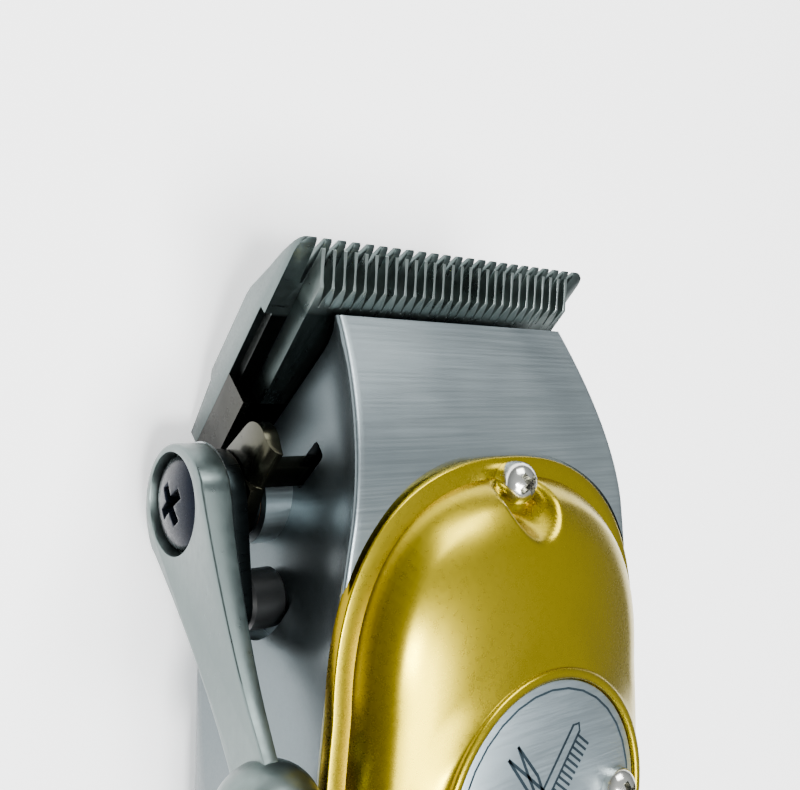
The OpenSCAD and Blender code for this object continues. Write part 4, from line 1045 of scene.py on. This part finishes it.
def makeFrictionPlate():
    plateX = link["x"] + link["sheet"] + plateShape["gap"]
    length, big, small = standOff["reach"], plateShape["radius"], standOff["radius"]
    tilt = math.asin((big - small) / length)
    outline = [(big * math.cos(a), big * math.sin(a)) for a in (
        math.pi / 2 - tilt + (math.pi + 2 * tilt) * k / 24 for k in range(25))]
    outline += [(length + small * math.cos(a), small * math.sin(a)) for a in (
        -math.pi / 2 + tilt + (math.pi - 2 * tilt) * k / 20 for k in range(21))]
    outerX = -plateX - plateShape["thickness"]
    piece = extrudedAcross(leverOutline(outline, standOff["angle"]), outerX, -plateX)
    softenEdges(piece, 0.3, 50, 2)
    cutAway(piece, leftRod(leverShape["hubBore"], 40, 0, pivot))
    cutAway(piece, leftRod(plateShape["screwHole"], 40, plateX + plateShape["screwHoleIn"], standOff))
    return finishPiece(piece, "frictionPlate", "body", darkSteel, ["friction_plate"])


def makeStandOff():
    r, low, high = standOff["radius"], standOff["x"] + 0.02, link["x"] + link["sheet"] + 0.08
    profile = [(0, low), (r - 0.4, low), (r, low + 0.4), (r, high - 0.4), (r - 0.3, high), (0, high)]
    piece = reshape(turnedPiece(profile, 56), shift(0, standOff["y"], standOff["z"]) @ leftward)
    return finishPiece(piece, "standOffBush", "body", blackNylon, ["standoff_bush"])


# cord gland

# radius and depth into the body of each point round the gland's section
glandProfile = [
    (3.3, 2.9), (5.5, 2.9), (5.5, 2.3), (5.5, -0.3), (7.2, -0.3), (7.5, -0.7), (7.5, -2.6), (7.1, -3.1),
    (5.0, -3.1), (3.9, -3.1), (3.6, -2.7), (3.3, -2.2), (3.3, 2.9),
]


def makeGland():
    piece = turnedPiece(glandProfile, 64)
    reshape(piece, shift(0, rearY, cordHole["z"]) @ turn(-90, "X"))
    return finishPiece(piece, "cordGland", "body", glandRubber, ["cord_gland"])


print("modelling")
makeCasting()
print("casting made")
makeCover()
print("cover made")
makeScrews()
makeBadge()
print("screws and badge made")
makeFixedBlade()
makeCutter()
makeCarriage()
print("blades made")
makeLink()
makeLever()
makeLeverScrew()
makeFrictionPlate()
makeStandOff()
makeGland()
print("lever side made")

nodeFinishes = {
    "blade_screws": bladeSteel, "carriage_screws": nickelScrew, "cam_shaft": darkSteel,
    "pivot_bush": sinteredBronze, "plate_screw": darkScrew, "spring_washer": springSteel,
    "drive_arm": armSteel, "drive_cap": whiteNylon,
    "armature_block": laminationSteel, "armature_screws": nickelScrew, "arm_pivot_pin": armSteel,
    "tension_spring": springSteel, "tension_screw": nickelScrew, "stator_core": laminationSteel,
    "coil_bobbin": whiteNylon, "coil_winding": copperWinding, "core_screws": nickelScrew,
    "return_springs": springSteel, "power_screw": nickelScrew, "power_bush": turnedBrass,
    "switch_body": blackNylon, "switch_slider": blackNylon, "terminal_block": whiteNylon,
    "lead_wires": wireInsulation,
}
for name, finish in nodeFinishes.items():
    node = nodes[name]
    node.data.materials.clear()
    node.data.materials.append(finish)

# floor, lights and camera

studio = {"floor": "#ffffff", "glow": 0.6, "zenith": 0.75, "horizon": 0.26, "floorSize": 3.0}

floorMaterial, tree, shader, where = startMaterial("paperSweep", Roughness=0.9)
cloud = noise(tree, where, 3, 2)
paper = mixColour(tree, between(tree, cloud, 0, 1), "#fcfcfc", studio["floor"])
tree.links.new(paper, shader.inputs["Base Color"])
shader.inputs["Emission Color"].default_value = linear("#ffffff")
shader.inputs["Emission Strength"].default_value = studio["glow"]
deselectAll()
bpy.ops.mesh.primitive_plane_add(size=studio["floorSize"], location=(0, 0, -0.0002))
floor = bpy.context.object
floor.name = "floor"
floor.data.materials.append(floorMaterial)

# a soft dome of light, dimmer towards the horizon so that steep faces fall off
world = bpy.data.worlds.new("studio")
bpy.context.scene.world = world
world.use_nodes = True
tree = world.node_tree
background = tree.nodes["Background"]
background.inputs["Color"].default_value = linear("#eef2f4")
direction = addNode(tree, "ShaderNodeTexCoord").outputs["Generated"]
height = addNode(tree, "ShaderNodeSeparateXYZ", links={0: direction}).outputs["Z"]
strength = between(tree, height, studio["horizon"], studio["zenith"], 0.0, 0.7)
tree.links.new(strength, background.inputs["Strength"])


def addLight(name, place, target, size, power, colour="#ffffff"):
    data = bpy.data.lights.new(name, "AREA")
    data.shape = "RECTANGLE"
    data.size, data.size_y = size
    data.energy = power
    data.color = linear(colour)[:3]
    lamp = bpy.data.objects.new(name, data)
    lamp.location = place
    lamp.rotation_euler = (Vector(target) - Vector(place)).to_track_quat("-Z", "Y").to_euler()
    bpy.context.scene.collection.objects.link(lamp)


aim = (0, 0.05, 0.03)
addLight("topSoftbox", (-0.1, -0.25, 0.8), aim, (0.5, 0.5), 16)
addLight("frontSoftbox", (0.1, 0.75, 0.5), aim, (0.5, 0.4), 8)
addLight("keyLamp", (-0.2, 0.02, 0.5), aim, (0.06, 0.06), 2.5)

# the camera looks down on the nose from over the lever side
view = {
    "place": (-0.0769, 0.0847, 0.1124), "up": (-0.0072, 0.9996, -0.0277), "look": (0.6267, -0.017, -0.7791),
    "lens": 41.36,
}
lens = bpy.data.cameras.new("camera")
lens.lens = view["lens"]
lens.sensor_width = 36
lens.clip_start = 0.005
camera = bpy.data.objects.new("camera", lens)
back = -Vector(view["look"]).normalized()
right = Vector(view["up"]).cross(back).normalized()
up = back.cross(right)
camera.matrix_world = Matrix((
    (right.x, up.x, back.x, view["place"][0]), (right.y, up.y, back.y, view["place"][1]),
    (right.z, up.z, back.z, view["place"][2]), (0, 0, 0, 1)))
bpy.context.scene.collection.objects.link(camera)
bpy.context.scene.camera = camera
print("floor, lights and camera set")
